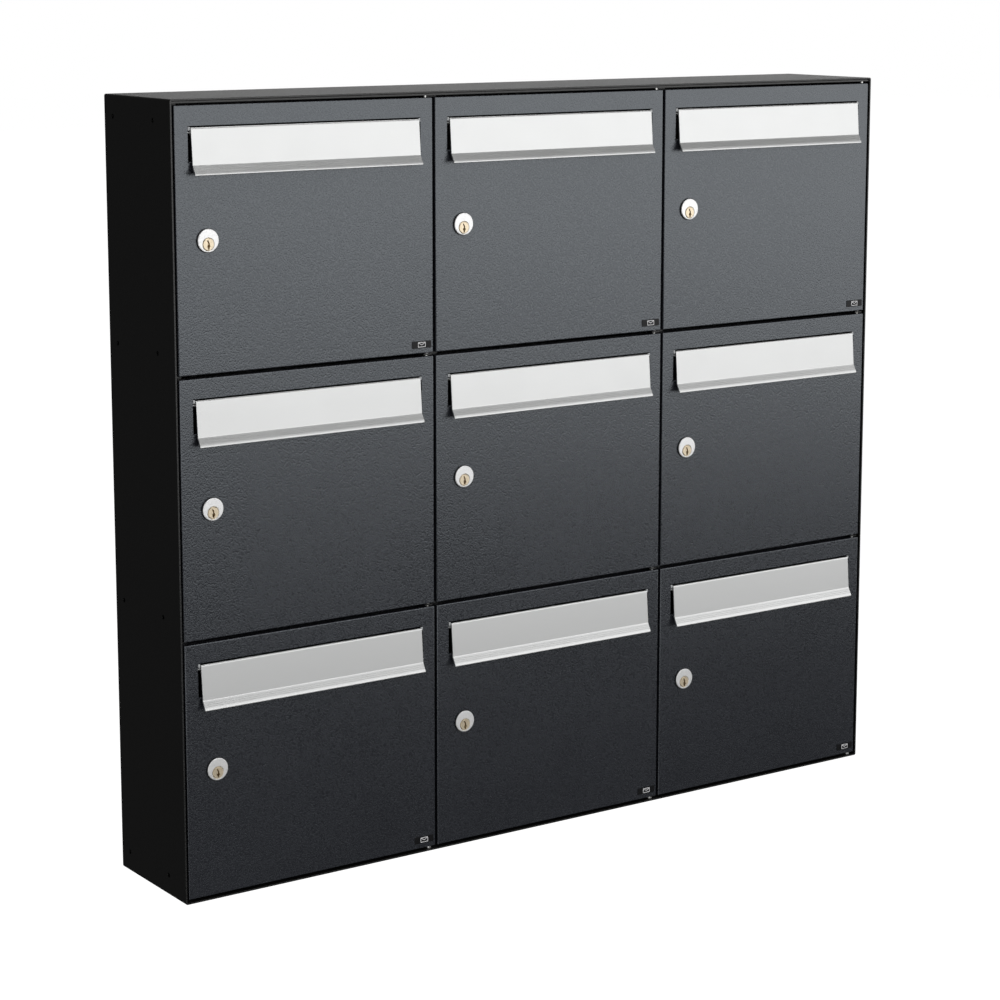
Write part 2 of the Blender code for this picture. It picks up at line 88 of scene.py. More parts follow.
class NodeSheet:
    """A node tree and the one method that adds nodes to it."""

    def __init__(self, tree: bpy.types.NodeTree) -> None:
        """Keep the tree that the nodes go into."""
        self.tree = tree

    def node(
        self,
        kind: str,
        settings: Mapping[str, Any] | None = None,
        sockets: Mapping[str | int, Any] | None = None,
    ) -> bpy.types.Node:
        """Add a node.

        Args:
            kind: the node's type name.
            settings: its own properties, set first.
            sockets: what each input takes, by name or number: a value, a socket or a Signal.

        Returns:
            The new node.
        """
        made = self.tree.nodes.new(kind)
        for key, value in (settings or {}).items():
            setattr(made, key, value)
        for key, value in (sockets or {}).items():
            self.feed(made.inputs[key], value)
        return made

    def feed(self, socket: bpy.types.NodeSocket, value: Any) -> None:
        """Link a socket to another one, or give it a constant."""
        source = value.socket if isinstance(value, Signal) else value
        if isinstance(source, bpy.types.NodeSocket):
            self.tree.links.new(source, socket)
        else:
            socket.default_value = source


class Signal:
    """A number in a shader tree that can stand in arithmetic."""

    def __init__(self, sheet: NodeSheet, socket: bpy.types.NodeSocket) -> None:
        """Wrap an output socket of a sheet."""
        self.sheet = sheet
        self.socket = socket

    def _maths(self, operation: str, first: Any, second: Any, clamp: bool = False) -> "Signal":
        """The result of one Math node on two values."""
        settings = {"operation": operation, "use_clamp": clamp}
        made = self.sheet.node("ShaderNodeMath", settings, {0: first, 1: second})
        return Signal(self.sheet, made.outputs[0])

    def __add__(self, other: Any) -> "Signal":
        """This plus another."""
        return self._maths("ADD", self, other)

    def __radd__(self, other: Any) -> "Signal":
        """Another plus this."""
        return self._maths("ADD", other, self)

    def __sub__(self, other: Any) -> "Signal":
        """This less another."""
        return self._maths("SUBTRACT", self, other)

    def __rsub__(self, other: Any) -> "Signal":
        """Another less this."""
        return self._maths("SUBTRACT", other, self)

    def __mul__(self, other: Any) -> "Signal":
        """This times another."""
        return self._maths("MULTIPLY", self, other)

    def __rmul__(self, other: Any) -> "Signal":
        """Another times this."""
        return self._maths("MULTIPLY", other, self)

    def ramp(self, level: float, slope: float) -> "Signal":
        """This times a slope plus a level, kept between 0 and 1."""
        return self._maths("ADD", self * slope, level, clamp=True)

    def sine(self) -> "Signal":
        """The sine of this, in radians."""
        return self._maths("SINE", self, 0.0)


def mixed(shares: Sequence[float], signals: Sequence[Signal]) -> Signal:
    """Signals added up, each by its share."""
    total, *others = (signal * share for share, signal in zip(shares, signals))
    for other in others:
        total = total + other
    return total


class ShaderSheet(NodeSheet):
    """The tree of one finish: a Principled shader and the textures that feed it."""

    def __init__(self, name: str) -> None:
        """Start a material with a shader and the piece's own coordinates."""
        self.material = bpy.data.materials.new(name)
        self.material.use_nodes = True
        super().__init__(self.material.node_tree)
        self.tree.nodes.clear()
        self.shader = self.node("ShaderNodeBsdfPrincipled")
        self.node("ShaderNodeOutputMaterial", sockets={"Surface": self.shader.outputs[0]})
        self.place = self.node("ShaderNodeTexCoord").outputs["Object"]

    def constant(self, **values: Any) -> None:
        """Set the shader's own sockets, their names written with underscores."""
        for key, value in values.items():
            self.shader.inputs[key.replace("_", " ")].default_value = value

    def drive(self, socket: str, value: Any) -> None:
        """Feed one of the shader's sockets."""
        self.feed(self.shader.inputs[socket], value)

    def noise(self, size: float, detail: float = 2.0, stretch: Triple = (1.0, 1.0, 1.0)) -> Signal:
        """Soft noise from 0 to 1.

        Args:
            size: about how wide a grain is, in metres.
            detail: how many finer layers lie on it.
            stretch: how many times longer a grain is along X, Y and Z.

        Returns:
            The noise as a number.
        """
        scale = [1.0 / (size * share) for share in stretch]
        spread = self.node("ShaderNodeMapping", sockets={"Vector": self.place, "Scale": scale})
        sockets = {"Vector": spread.outputs[0], "Scale": 1.0, "Detail": detail}
        return Signal(self, self.node("ShaderNodeTexNoise", sockets=sockets).outputs[0])

    def grains(self, size: float) -> Signal:
        """Distance to the middle of the nearest grain, 0 to about 1."""
        sockets = {"Vector": self.place, "Scale": 1.0 / size}
        return Signal(self, self.node("ShaderNodeTexVoronoi", sockets=sockets).outputs["Distance"])

    def ring_radius(self, attribute: str) -> Signal:
        """Distance from the axis of a turned piece, read from its own attribute."""
        own = self.node("ShaderNodeAttribute", {"attribute_name": attribute})
        length = self.node("ShaderNodeVectorMath", {"operation": "LENGTH"}, {0: own.outputs["Vector"]})
        return Signal(self, length.outputs["Value"])

    def tone(self, share: Signal, colour: Colour, darkest: float, lightest: float = 1.0) -> None:
        """Vary the base colour between two shares of itself."""
        low, high = (tuple(part * level for part in colour) for level in (darkest, lightest))
        self.drive("Base Color", self.blend(share, low, high))

    def blend(self, share: Signal, low: Colour, high: Colour) -> bpy.types.NodeSocket:
        """The colour between two, at a share."""
        sockets = {0: share, 6: (*low, 1.0), 7: (*high, 1.0)}
        return self.node("ShaderNodeMix", {"data_type": "RGBA"}, sockets).outputs[2]

    def rough(self, level: float, swings: Sequence[float], signals: Sequence[Signal]) -> None:
        """Let the roughness swing about a level with signals from 0 to 1."""
        value = level
        for swing, signal in zip(swings, signals):
            value = value + swing * (signal - 0.5)
        self.drive("Roughness", value)

    def relief(self, height: Signal, depth: float) -> None:
        """Raise the surface by a height from 0 to 1, in metres of depth."""
        bump = self.node("ShaderNodeBump", sockets={"Height": height, "Distance": depth, "Strength": 1.0})
        self.drive("Normal", bump.outputs[0])


class Recipe(NodeSheet):
    """A Geometry Nodes tree with named inputs, which turns a base mesh into a plain one."""

    def __init__(self, name: str, inputs: Mapping[str, str]) -> None:
        """Start a tree.

        Args:
            name: the tree's name.
            inputs: socket type by input name; a geometry input and output are always there.
        """
        super().__init__(bpy.data.node_groups.new(name, "GeometryNodeTree"))
        face = self.tree.interface
        face.new_socket("Geometry", in_out="INPUT", socket_type="NodeSocketGeometry")
        face.new_socket("Geometry", in_out="OUTPUT", socket_type="NodeSocketGeometry")
        self.identifiers = {}
        for label, kind in inputs.items():
            self.identifiers[label] = face.new_socket(label, in_out="INPUT", socket_type=kind).identifier
        self.source = self.node("NodeGroupInput").outputs
        self.result = self.node("NodeGroupOutput").inputs[0]

    def close(self, geometry: bpy.types.NodeSocket) -> None:
        """End the tree: real geometry in its finish."""
        solid = self.node("GeometryNodeRealizeInstances", sockets={"Geometry": geometry})
        smooth = self.node("GeometryNodeSetShadeSmooth", sockets={"Geometry": solid.outputs[0]})
        sockets = {"Geometry": smooth.outputs[0], "Material": self.source["Finish"]}
        self.feed(self.result, self.node("GeometryNodeSetMaterial", sockets=sockets).outputs[0])

    def run(self, base: bpy.types.Mesh, values: Mapping[str, Any]) -> bpy.types.Mesh:
        """Run the tree once.

        Args:
            base: the mesh that it starts from.
            values: what each named input takes.

        Returns:
            The plain mesh that it makes.
        """
        carrier = linked(bpy.data.objects.new("recipe_base", base))
        modifier = carrier.modifiers.new("recipe", "NODES")
        modifier.node_group = self.tree
        for label, value in values.items():
            modifier[self.identifiers[label]] = value
        return taken(carrier)


# ---- Finishes


@dataclass(frozen=True)
class Coating:
    """What all finishes share: the colour slot, if they have one, the colour and the roughness."""

    slot: str | None
    colour: Colour
    roughness: float

    def dress(self, name: str) -> bpy.types.Material:
        """Build the finish as a material."""
        sheet = ShaderSheet(name)
        self.fill(sheet)
        return sheet.material

    def fill(self, sheet: ShaderSheet) -> None:
        """Drive the shader's sockets; each finish has its own way."""
        raise NotImplementedError


@dataclass(frozen=True)
class PowderCoat(Coating):
    """Powder coating on sheet: a fine grain over a film that is a little uneven."""

    gloss: float
    sheen: Colour = (1.0, 1.0, 1.0)
    grain: float = 0.0009
    depth: float = 0.00010
    film: float = 0.0035
    mottle: float = 0.10
    pebble_size: float = 1.3
    cloud_size: float = 40.0
    tone_mix: Flat = (0.7, 0.3)
    swings: Flat = (0.16, 0.05)
    relief_mix: Triple = (0.20, 0.55, 0.25)

    def fill(self, sheet: ShaderSheet) -> None:
        """Pebbles and clouds in the colour and the roughness, all grains in the relief."""
        sheet.constant(Metallic=0.0, IOR=self.gloss, Specular_Tint=(*self.sheen, 1.0))
        fine = sheet.noise(self.grain, detail=3.0)
        pebbles = 1.0 - sheet.grains(self.grain * self.pebble_size)
        film = sheet.noise(self.film, detail=1.0)
        cloud = sheet.noise(self.film * self.cloud_size)
        share = mixed(self.tone_mix, (pebbles, cloud))
        sheet.tone(share, self.colour, 1.0 - self.mottle, 1.0 + self.mottle)
        sheet.rough(self.roughness, self.swings, (pebbles, cloud))
        sheet.relief(mixed(self.relief_mix, (fine, pebbles, film)), self.depth)


@dataclass(frozen=True)
class SatinAluminium(Coating):
    """Drawn and anodised aluminium: faint lines along its length and a fine blasted grain."""

    line: float = 0.00035
    line_length: float = 900.0
    grain_size: float = 1.6
    cloud_size: float = 120.0
    depth: float = 0.000012
    darkest: float = 0.965
    tone_mix: Triple = (0.5, 0.3, 0.2)
    swings: Flat = (0.10, 0.05)
    relief_mix: Flat = (0.6, 0.4)

    def fill(self, sheet: ShaderSheet) -> None:
        """Lines, grain and clouds over bare metal."""
        sheet.constant(Metallic=1.0)
        lines = sheet.noise(self.line, stretch=(self.line_length, 1.0, 1.0))
        grain = sheet.noise(self.line * self.grain_size)
        cloud = sheet.noise(self.line * self.cloud_size)
        sheet.tone(mixed(self.tone_mix, (lines, grain, cloud)), self.colour, self.darkest)
        sheet.rough(self.roughness, self.swings, (grain, cloud))
        sheet.relief(mixed(self.relief_mix, (lines, grain)), self.depth)


@dataclass(frozen=True)
class TurnedMetal(Coating):
    """Metal turned on a lathe: rings round the axis, with a few rubbed and dull spots."""

    ring: float = 0.00022
    depth: float = 0.000004
    spots: float = 0.0022
    darkest: float = 0.90
    dulling: Flat = (-2.0, 4.0)
    swings: Flat = (0.12, 0.04)
    relief_mix: Flat = (0.7, 0.3)

    def fill(self, sheet: ShaderSheet) -> None:
        """Rings in the relief, and spots that are darker and duller."""
        sheet.constant(Metallic=1.0)
        rings = (sheet.ring_radius(TURNED_FROM) * (math.tau / self.ring)).sine() * 0.5 + 0.5
        spots = sheet.noise(self.spots, detail=3.0)
        dull = spots.ramp(*self.dulling)
        sheet.tone(1.0 - dull, self.colour, self.darkest)
        sheet.rough(self.roughness, self.swings, (dull, rings))
        sheet.relief(mixed(self.relief_mix, (rings, spots)), self.depth)


@dataclass(frozen=True)
class ZincPlate(Coating):
    """Bright zinc plating: a faint patchwork of crystals, bluish and yellowish in turn."""

    warm: Colour
    crystal: float = 0.0016
    haze_size: float = 6.0
    depth: float = 0.00001
    warming: Flat = (-0.3, 1.6)
    swings: Flat = (0.14, 0.10)
    relief_mix: Flat = (0.6, 0.4)

    def fill(self, sheet: ShaderSheet) -> None:
        """Crystals, and a haze that goes from the cool colour to the warm one."""
        sheet.constant(Metallic=1.0)
        crystals = sheet.grains(self.crystal)
        haze = sheet.noise(self.crystal * self.haze_size, detail=3.0)
        sheet.drive("Base Color", sheet.blend(haze.ramp(*self.warming), self.colour, self.warm))
        sheet.rough(self.roughness, self.swings, (crystals, haze))
        sheet.relief(mixed(self.relief_mix, (crystals, haze)), self.depth)


@dataclass(frozen=True)
class SmoothSkin(Coating):
    """Enamel or moulded plastic: a smooth skin with one fine ripple."""

    ripple: float
    darkest: float
    swing: float
    gloss: float = 1.5
    depth: float = 0.00002

    def fill(self, sheet: ShaderSheet) -> None:
        """The ripple in the colour, the roughness and the relief."""
        sheet.constant(Metallic=0.0, IOR=self.gloss)
        ripple = sheet.noise(self.ripple)
        sheet.tone(ripple, self.colour, self.darkest)
        sheet.rough(self.roughness, [self.swing], [ripple])
        sheet.relief(ripple, self.depth)


ENAMEL = {"ripple": 0.0012, "darkest": 0.92, "swing": 0.08, "gloss": 1.35}
MOULDED = {"ripple": 0.00045, "darkest": 0.94, "swing": 0.10}


class Finish(Enum):
    """The finishes on the object."""

    CASING_BLACK = PowderCoat(
        "casing_black", (0.0050, 0.0050, 0.0047), 0.40, 1.58, grain=0.0012, depth=0.00025
    )
    DOOR_ANTHRACITE = PowderCoat(
        "door_anthracite",
        (0.0125, 0.0130, 0.0180),
        0.29,
        1.92,
        sheen=(0.87, 0.935, 0.99),
        grain=0.0014,
        depth=0.00026,
        film=0.0030,
        mottle=0.20,
    )
    FLAP_SATIN = SatinAluminium("flap_satin", (0.62, 0.625, 0.622), 0.40)
    LOCK_NICKEL = TurnedMetal("lock_bright", (0.98, 0.98, 0.98), 0.56)
    PLUG_BRASS = TurnedMetal("plug_brass", (0.86, 0.74, 0.55), 0.50)
    ZINC = ZincPlate("zinc_plated", (0.60, 0.62, 0.65), 0.37, (0.66, 0.64, 0.58))
    BUSH_GREY = SmoothSkin(None, (0.50, 0.51, 0.52), 0.45, **MOULDED)
    # Painted shade: the black of the ring that darkens the lock housing's side, where shade and dark
    # reflection fall.
    SEAL_BLACK = SmoothSkin(None, (0.006, 0.006, 0.006), 0.62, **MOULDED)
    BADGE_BLACK = SmoothSkin(None, (0.004, 0.004, 0.005), 0.42, **ENAMEL)
    BADGE_SIGN = SmoothSkin(None, (0.88, 0.88, 0.89), 0.45, **ENAMEL)


class Palette:
    """Every finish as a material, each built once."""

    def __init__(self) -> None:
        """Start with nothing built."""
        self._made: dict[Finish, bpy.types.Material] = {}

    def __getitem__(self, finish: Finish) -> bpy.types.Material:
        """The material of a finish."""
        if finish not in self._made:
            self._made[finish] = finish.value.dress(finish.name.lower())
        return self._made[finish]


palette = Palette()


# ---- Mesh work

def linked(obj: bpy.types.Object) -> bpy.types.Object:
    """Link an object to the scene and hand it back."""
    bpy.context.scene.collection.objects.link(obj)
    return obj


def taken(obj: bpy.types.Object, helpers: Iterable[bpy.types.Object] = ()) -> bpy.types.Mesh:
    """The evaluated mesh of an object, which is removed with its helpers."""
    bpy.context.view_layer.update()
    graph = bpy.context.evaluated_depsgraph_get()
    mesh = bpy.data.meshes.new_from_object(obj.evaluated_get(graph))
    for spent in [obj, *helpers]:
        bpy.data.objects.remove(spent, do_unlink=True)
    return mesh


def meshed(shape: bmesh.types.BMesh) -> bpy.types.Mesh:
    """A mesh from a bmesh, with its faces pointing out."""
    bmesh.ops.recalc_face_normals(shape, faces=shape.faces)
    mesh = bpy.data.meshes.new("made")
    shape.to_mesh(mesh)
    shape.free()
    return mesh


def flat_yz(u: float, v: float, along: float) -> Triple:
    """A section in Y and Z, pushed along X."""
    return (along, u, v)


def flat_xz(u: float, v: float, along: float) -> Triple:
    """A section in X and Z, pushed along Y."""
    return (u, along, v)


def flat_xy(u: float, v: float, along: float) -> Triple:
    """A section in X and Y, pushed along Z."""
    return (u, v, along)


def inset(outline: Sequence[Flat], amount: float) -> list[Flat]:
    """A closed outline moved inwards by an amount, corner by corner.

    Args:
        outline: the points, either way round.
        amount: how far each side moves.

    Returns:
        As many points as before.
    """
    points = [Vector(point) for point in outline]
    turning = sum(a.x * b.y - b.x * a.y for a, b in zip(points, points[1:] + points[:1]))
    side = 1.0 if turning > 0 else -1.0
    moved = []
    for before, here, after in zip(points[-1:] + points[:-1], points, points[1:] + points[:1]):
        arriving, leaving = (here - before).normalized(), (after - here).normalized()
        inwards = (Vector((-arriving.y, arriving.x)) + Vector((-leaving.y, leaving.x))) * side
        inwards = inwards.normalized() if inwards.length > NO_LENGTH else Vector((0.0, 0.0))
        lean = max(SHARPEST_LEAN, inwards.dot(Vector((-leaving.y, leaving.x)) * side))
        moved.append(tuple(here + inwards * amount / lean))
    return moved


def extruded(
    outline: Sequence[Flat],
    low: float,
    high: float,
    place: Callable[[float, float, float], Triple],
    chamfer: float = 0.0,
) -> bpy.types.Mesh:
    """A flat outline pushed from low to high.

    Args:
        outline: the section's points.
        low: where it starts.
        high: where it ends.
        place: turns (u, v, along) into a point.
        chamfer: how much its two end edges are taken off.

    Returns:
        A closed mesh.
    """
    layers = [(outline, low), (outline, high)]
    if chamfer:
        tight = inset(outline, chamfer)
        layers = [(tight, low), (outline, low + chamfer), (outline, high - chamfer), (tight, high)]
    shape = bmesh.new()
    rings = [[shape.verts.new(place(u, v, along)) for u, v in points] for points, along in layers]
    for near, far in zip(rings, rings[1:]):
        for step in range(len(outline)):
            after = (step + 1) % len(outline)
            shape.faces.new((near[step], near[after], far[after], far[step]))
    shape.faces.new(rings[0])
    shape.faces.new(rings[-1])
    return meshed(shape)


def block(low: Sequence[float], high: Sequence[float]) -> bpy.types.Mesh:
    """A rectangular block between two corners."""
    outline = [(low[0], low[1]), (high[0], low[1]), (high[0], high[1]), (low[0], high[1])]
    return extruded(outline, low[2], high[2], flat_xy)


def rounded_outline(low: Flat, high: Flat, radius: float, steps: int = 5) -> list[Flat]:
    """A rectangle whose corners are arcs.

    Args:
        low: its lowest corner.
        high: its highest corner.
        radius: the corners' radius.
        steps: how many sides each arc has.

    Returns:
        The points, counterclockwise.
    """
    left, right = low[0] + radius, high[0] - radius
    bottom, top = low[1] + radius, high[1] - radius
    points = []
    for quarter, centre in enumerate(((right, top), (left, top), (left, bottom), (right, bottom))):
        points += arc(centre, radius, QUARTER * quarter, QUARTER * (quarter + 1), steps)
    return points


def arc(centre: Flat, radius: float, start: float, end: float, steps: int) -> list[Flat]:
    """Points on a circle from one angle to another, in radians, both ends included."""
    angles = [start + (end - start) * step / steps for step in range(steps + 1)]
    return [(centre[0] + radius * math.cos(a), centre[1] + radius * math.sin(a)) for a in angles]


def hexagon(centre: Flat, half: float) -> list[Flat]:
    """The corners of a nut that is two halves wide across its flats."""
    return arc(centre, half / math.cos(math.pi / 6), 0.0, math.tau, 6)[:-1]


def turned(
    profile: Sequence[Flat],
    axis: Triple = ALONG_Y,
    centre: Sequence[float] = ORIGIN,
    segments: int = SIDES,
) -> bpy.types.Mesh:
    """A round solid.

    Args:
        profile: (place along the axis, radius) pairs, from one end to the other.
        axis: the axis it is turned about.
        centre: a point that the axis runs through.
        segments: how many sides it has.

    Returns:
        A closed mesh.
    """
    turn = Vector(ALONG_Z).rotation_difference(Vector(axis)).to_matrix().to_4x4()
    place = Matrix.Translation(Vector(centre)) @ turn
    shape = bmesh.new()
    rings = []
    for along, radius in profile:
        ring = arc((0.0, 0.0), radius, 0.0, math.tau, segments)[:-1]
        rings.append([shape.verts.new(place @ Vector((u, v, along))) for u, v in ring])
    for lower, upper in zip(rings, rings[1:]):
        for step in range(segments):
            after = (step + 1) % segments
            shape.faces.new((lower[step], lower[after], upper[after], upper[step]))
    shape.faces.new(rings[0])
    shape.faces.new(rings[-1])
    return meshed(shape)


def drill(
    start: float,
    end: float,
    radius: float,
    axis: Triple = ALONG_Y,
    centre: Sequence[float] = ORIGIN,
    segments: int = SIDES,
) -> bpy.types.Mesh:
    """A plain cylinder, for a pin or to cut a hole with."""
    return turned([(start, radius), (end, radius)], axis, centre, segments)


def carved(
    base: bpy.types.Mesh, joins: Iterable[bpy.types.Mesh] = (), cuts: Iterable[bpy.types.Mesh] = ()
) -> bpy.types.Mesh:
    """The base with some meshes joined to it and then others cut from it."""
    work = linked(bpy.data.objects.new("work", base))
    helpers = []
    for operation, meshes in (("UNION", joins), ("DIFFERENCE", cuts)):
        for mesh in meshes:
            helper = linked(bpy.data.objects.new("helper", mesh))
            helpers.append(helper)
            step = work.modifiers.new(operation.lower(), "BOOLEAN")
            step.operation = operation
            step.solver = "EXACT"
            step.object = helper
    return taken(work, helpers)


def bevelled(obj: bpy.types.Object, width: float, above: float) -> None:
    """Break the edges of an object that turn by more than some degrees."""
    bevel = obj.modifiers.new("edges", "BEVEL")
    bevel.width = width
    bevel.segments = BEVEL_STEPS
    bevel.limit_method = "ANGLE"
    bevel.angle_limit = math.radians(above)


def eased(mesh: bpy.types.Mesh, edge: float = 0.0, above: float = 40.0) -> bpy.types.Mesh:
    """Break the sharp edges of a mesh and give it even shading.

    Args:
        mesh: the mesh, which is used up.
        edge: how wide the broken edge is; none if 0.
        above: edges that turn by more than this many degrees are sharp.

    Returns:
        The finished mesh.
    """
    work = linked(bpy.data.objects.new("work", mesh))
    if edge:
        bevelled(work, edge, above)
    mesh.shade_smooth()
    mesh.set_sharp_from_angle(angle=math.radians(above))
    even = work.modifiers.new("even", "WEIGHTED_NORMAL")
    even.keep_sharp = not edge
    return taken(work)


def placed(mesh: bpy.types.Mesh, offset: Vector) -> bpy.types.Mesh:
    """A copy of a mesh, moved."""
    copy = mesh.copy()
    copy.transform(Matrix.Translation(offset))
    return copy


def with_own_place(mesh: bpy.types.Mesh, axis_height: float = 0.0) -> bpy.types.Mesh:
    """Note on each point how far it is from an axis along Y, for finishes that run round it."""
    note = mesh.attributes.new(TURNED_FROM, "FLOAT_VECTOR", "POINT")
    for point, vertex in zip(note.data, mesh.vertices):
        point.vector = (vertex.co.x, 0.0, vertex.co.z - axis_height)
    return mesh


def present(
    name: str,
    mesh: bpy.types.Mesh,
    body: str,
    finish: Finish,
    stands_for: Sequence[str] = (),
) -> bpy.types.Object:
    """Show a finished mesh as a piece of the object.

    Args:
        name: the piece's name.
        mesh: its mesh, in the frame's coordinates.
        body: the body that it moves with.
        finish: what it is made of.
        stands_for: the nodes of the frame that it stands for.

    Returns:
        The piece.
    """
    mesh.materials.clear()
    mesh.materials.append(palette[finish])
    piece = linked(bpy.data.objects.new(name, mesh))
    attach(piece, body)
    if stands_for:
        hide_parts(*stands_for)
    log.info("%s on %s: %d faces, %s", name, body, len(mesh.polygons), finish.name.lower())
    return piece


# ---- The frame


@dataclass(frozen=True)
class Cell:
    """One letterbox of the bank and the axes of its joints."""

    row: str
    column: str
    hinge: Vector
    pivot: Vector
    lock: Vector

    @property
    def where(self) -> str:
        """Row and column, as the frame's names end."""
        return f"{self.row}_{self.column}"


def read_cells() -> list[Cell]:
    """Every letterbox, with its axes from the frame's joints."""
    axes = {joint["name"]: Vector(joint["pos_m"]) for joint in frame["joints"]}
    cells = []
    for row in ROW_NAMES:
        for column in COLUMN_NAMES:
            where = f"{row}_{column}"
            kinds = ("door_swing", "flap_swing", "lock_turn")
            cells.append(Cell(row, column, *(axes[f"{kind}_{where}"] for kind in kinds)))
    return cells


def box_about(node: str, origin: Vector) -> tuple[Vector, Vector]:
    """A node's corners, measured from a point."""
    low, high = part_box(node)
    return low - origin, high - origin


# ---- Casing


@dataclass
class Casing:
    """The black sheet casing, its inner sheets and the hinge rods."""

    sheet: float = 0.002
    inner_sheet: float = 0.0015
    rail_sheet: float = 0.0023
    corner: float = 0.0024
    rail_recess: float = 0.002
    rail_depth: float = 0.015
    rail_drop: float = 0.0008
    hole_radius: float = 0.003
    hole_depths: tuple[float, float] = (0.0455, 0.153)
    hole_top_drop: float = 0.027
    hole_floor_rise: float = 0.026
    rod_radius: float = 0.002
    rod_play: float = 0.0003
    edge: float = 0.0003
    weld: float = 0.000025
    sharp: float = 60.0

    def build(self, cells: Sequence[Cell]) -> None:
        """Make the shell and the rods, and dress the sheets inside."""
        present("cabinet_shell", self.shell(cells), "cabinet", Finish.CASING_BLACK, ["casing_shell"])
        for node in ("back_panel", "left_strike_strip", *self.partitions(), *self.shelves()):
            self.dress_sheet(node)
        for cell in cells:
            if cell.row == ROW_NAMES[0]:
                node = f"hinge_rod_{cell.column}"
                pin = self.hinge_pin(node, cell)
                present(f"hinge_pin_{cell.column}", pin, "cabinet", Finish.ZINC, [node])

    @staticmethod
    def partitions() -> list[str]:
        """Names of the upright walls between the columns."""
        return [f"partition_{a}_{b}" for a, b in zip(COLUMN_NAMES, COLUMN_NAMES[1:])]

    @staticmethod
    def shelves() -> list[str]:
        """Names of the floors of the upper rows."""
        return [f"shelf_{row}_{column}" for row in ROW_NAMES[1:] for column in COLUMN_NAMES]

    def shell(self, cells: Sequence[Cell]) -> bpy.types.Mesh:
        """Four walls bent from sheet, the rail under the top, and the fixing holes."""
        low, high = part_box("casing_shell")
        outer = rounded_outline((low.x, low.z), (high.x, high.z), self.corner)
        inner_low = (low.x + self.sheet, low.z + self.sheet)
        inner_high = (high.x - self.sheet, high.z - self.sheet)
        inner = rounded_outline(inner_low, inner_high, self.corner - self.sheet)
        hollow = extruded(inner, low.y - CUT, high.y + CUT, flat_xz)
        walls = carved(extruded(outer, low.y, high.y, flat_xz), cuts=[hollow])
        return eased(carved(walls, self.rail(low, inner_low, inner_high), self.holes(cells)), self.edge)

    def rail(self, low: Vector, inner_low: Flat, inner_high: Flat) -> list[bpy.types.Mesh]:
        """The angle under the top sheet that holds the tops of the hinge rods."""
        front, back = low.y + self.rail_recess, low.y + self.rail_depth
        top = inner_high[1] - self.rail_drop
        bottom = top - self.rail_sheet
        left, right = inner_low[0] - self.sheet / 2, inner_high[0] + self.sheet / 2
        plate = block((left, front, bottom), (right, back, top))
        web = block((left, back - self.rail_sheet, bottom), (right, back, inner_high[1] + self.sheet / 2))
        return [plate, web]

    def holes(self, cells: Sequence[Cell]) -> list[bpy.types.Mesh]:
        """Cutters for the side holes and for the ends of the hinge rods."""
        low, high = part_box("casing_shell")
        cutters = []
        for cell in cells:
            if cell.row == ROW_NAMES[0]:
                hole = self.rod_radius + self.rod_play
                place = (cell.hinge.x, cell.hinge.y, 0.0)
                floor = (low.z - CUT, low.z + self.sheet + self.inner_sheet)
                ceiling = high.z - self.sheet - self.rail_drop
                rail = (ceiling - 2 * self.rail_sheet, ceiling + self.rail_drop / 2)
                cutters += [drill(*span, hole, ALONG_Z, place) for span in (floor, rail)]
        floors = [low.z]
        floors += [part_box(f"shelf_{row}_left")[1].z - self.inner_sheet / 2 for row in ROW_NAMES[1:]]
        heights = [floor + self.hole_floor_rise for floor in floors] + [high.z - self.hole_top_drop]
        for depth in self.hole_depths:
            for height in heights:
                place = (0.0, low.y + depth, height)
                for start, end in ((low.x - CUT, low.x + CUT), (high.x - CUT, high.x + CUT)):
                    cutters.append(drill(start, end, self.hole_radius, ALONG_X, place))
        return cutters

    def dress_sheet(self, node: str) -> None:
        """Give an inner sheet its finish, closed seams and broken edges."""
        sheet = frame["nodes"][node]
        sheet.data.materials.clear()
        sheet.data.materials.append(palette[Finish.CASING_BLACK])
        weld = sheet.modifiers.new("weld", "WELD")
        weld.merge_threshold = self.weld
        bevelled(sheet, self.edge, self.sharp)
        log.info("%s: dressed as %s", node, Finish.CASING_BLACK.name.lower())

    def hinge_pin(self, node: str, cell: Cell) -> bpy.types.Mesh:
        """A hinge rod with a chamfered collar under each door."""
        low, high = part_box(node)
        collar_radius = (high.x - low.x) / 2
        profile = [(low.z, self.rod_radius - self.edge), (low.z + self.edge, self.rod_radius)]
        for row in ROW_NAMES:
            door_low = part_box(f"door_{row}_{cell.column}")[0].z
            top = door_low - self.rod_play
            if row == ROW_NAMES[0]:
                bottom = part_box("casing_shell")[0].z + self.sheet + self.rod_play
            else:
                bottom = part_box(f"shelf_{row}_{cell.column}")[1].z + self.rod_play
            soft = collar_radius - self.edge
            profile += [(bottom, self.rod_radius), (bottom, soft), (bottom + self.edge, collar_radius)]
            profile += [(top - self.edge, collar_radius), (top, soft), (top, self.rod_radius)]
        profile += [(high.z - self.edge, self.rod_radius), (high.z, self.rod_radius - self.edge)]
        return eased(turned(profile, ALONG_Z, (cell.hinge.x, cell.hinge.y, 0.0)))


# ---- Doors


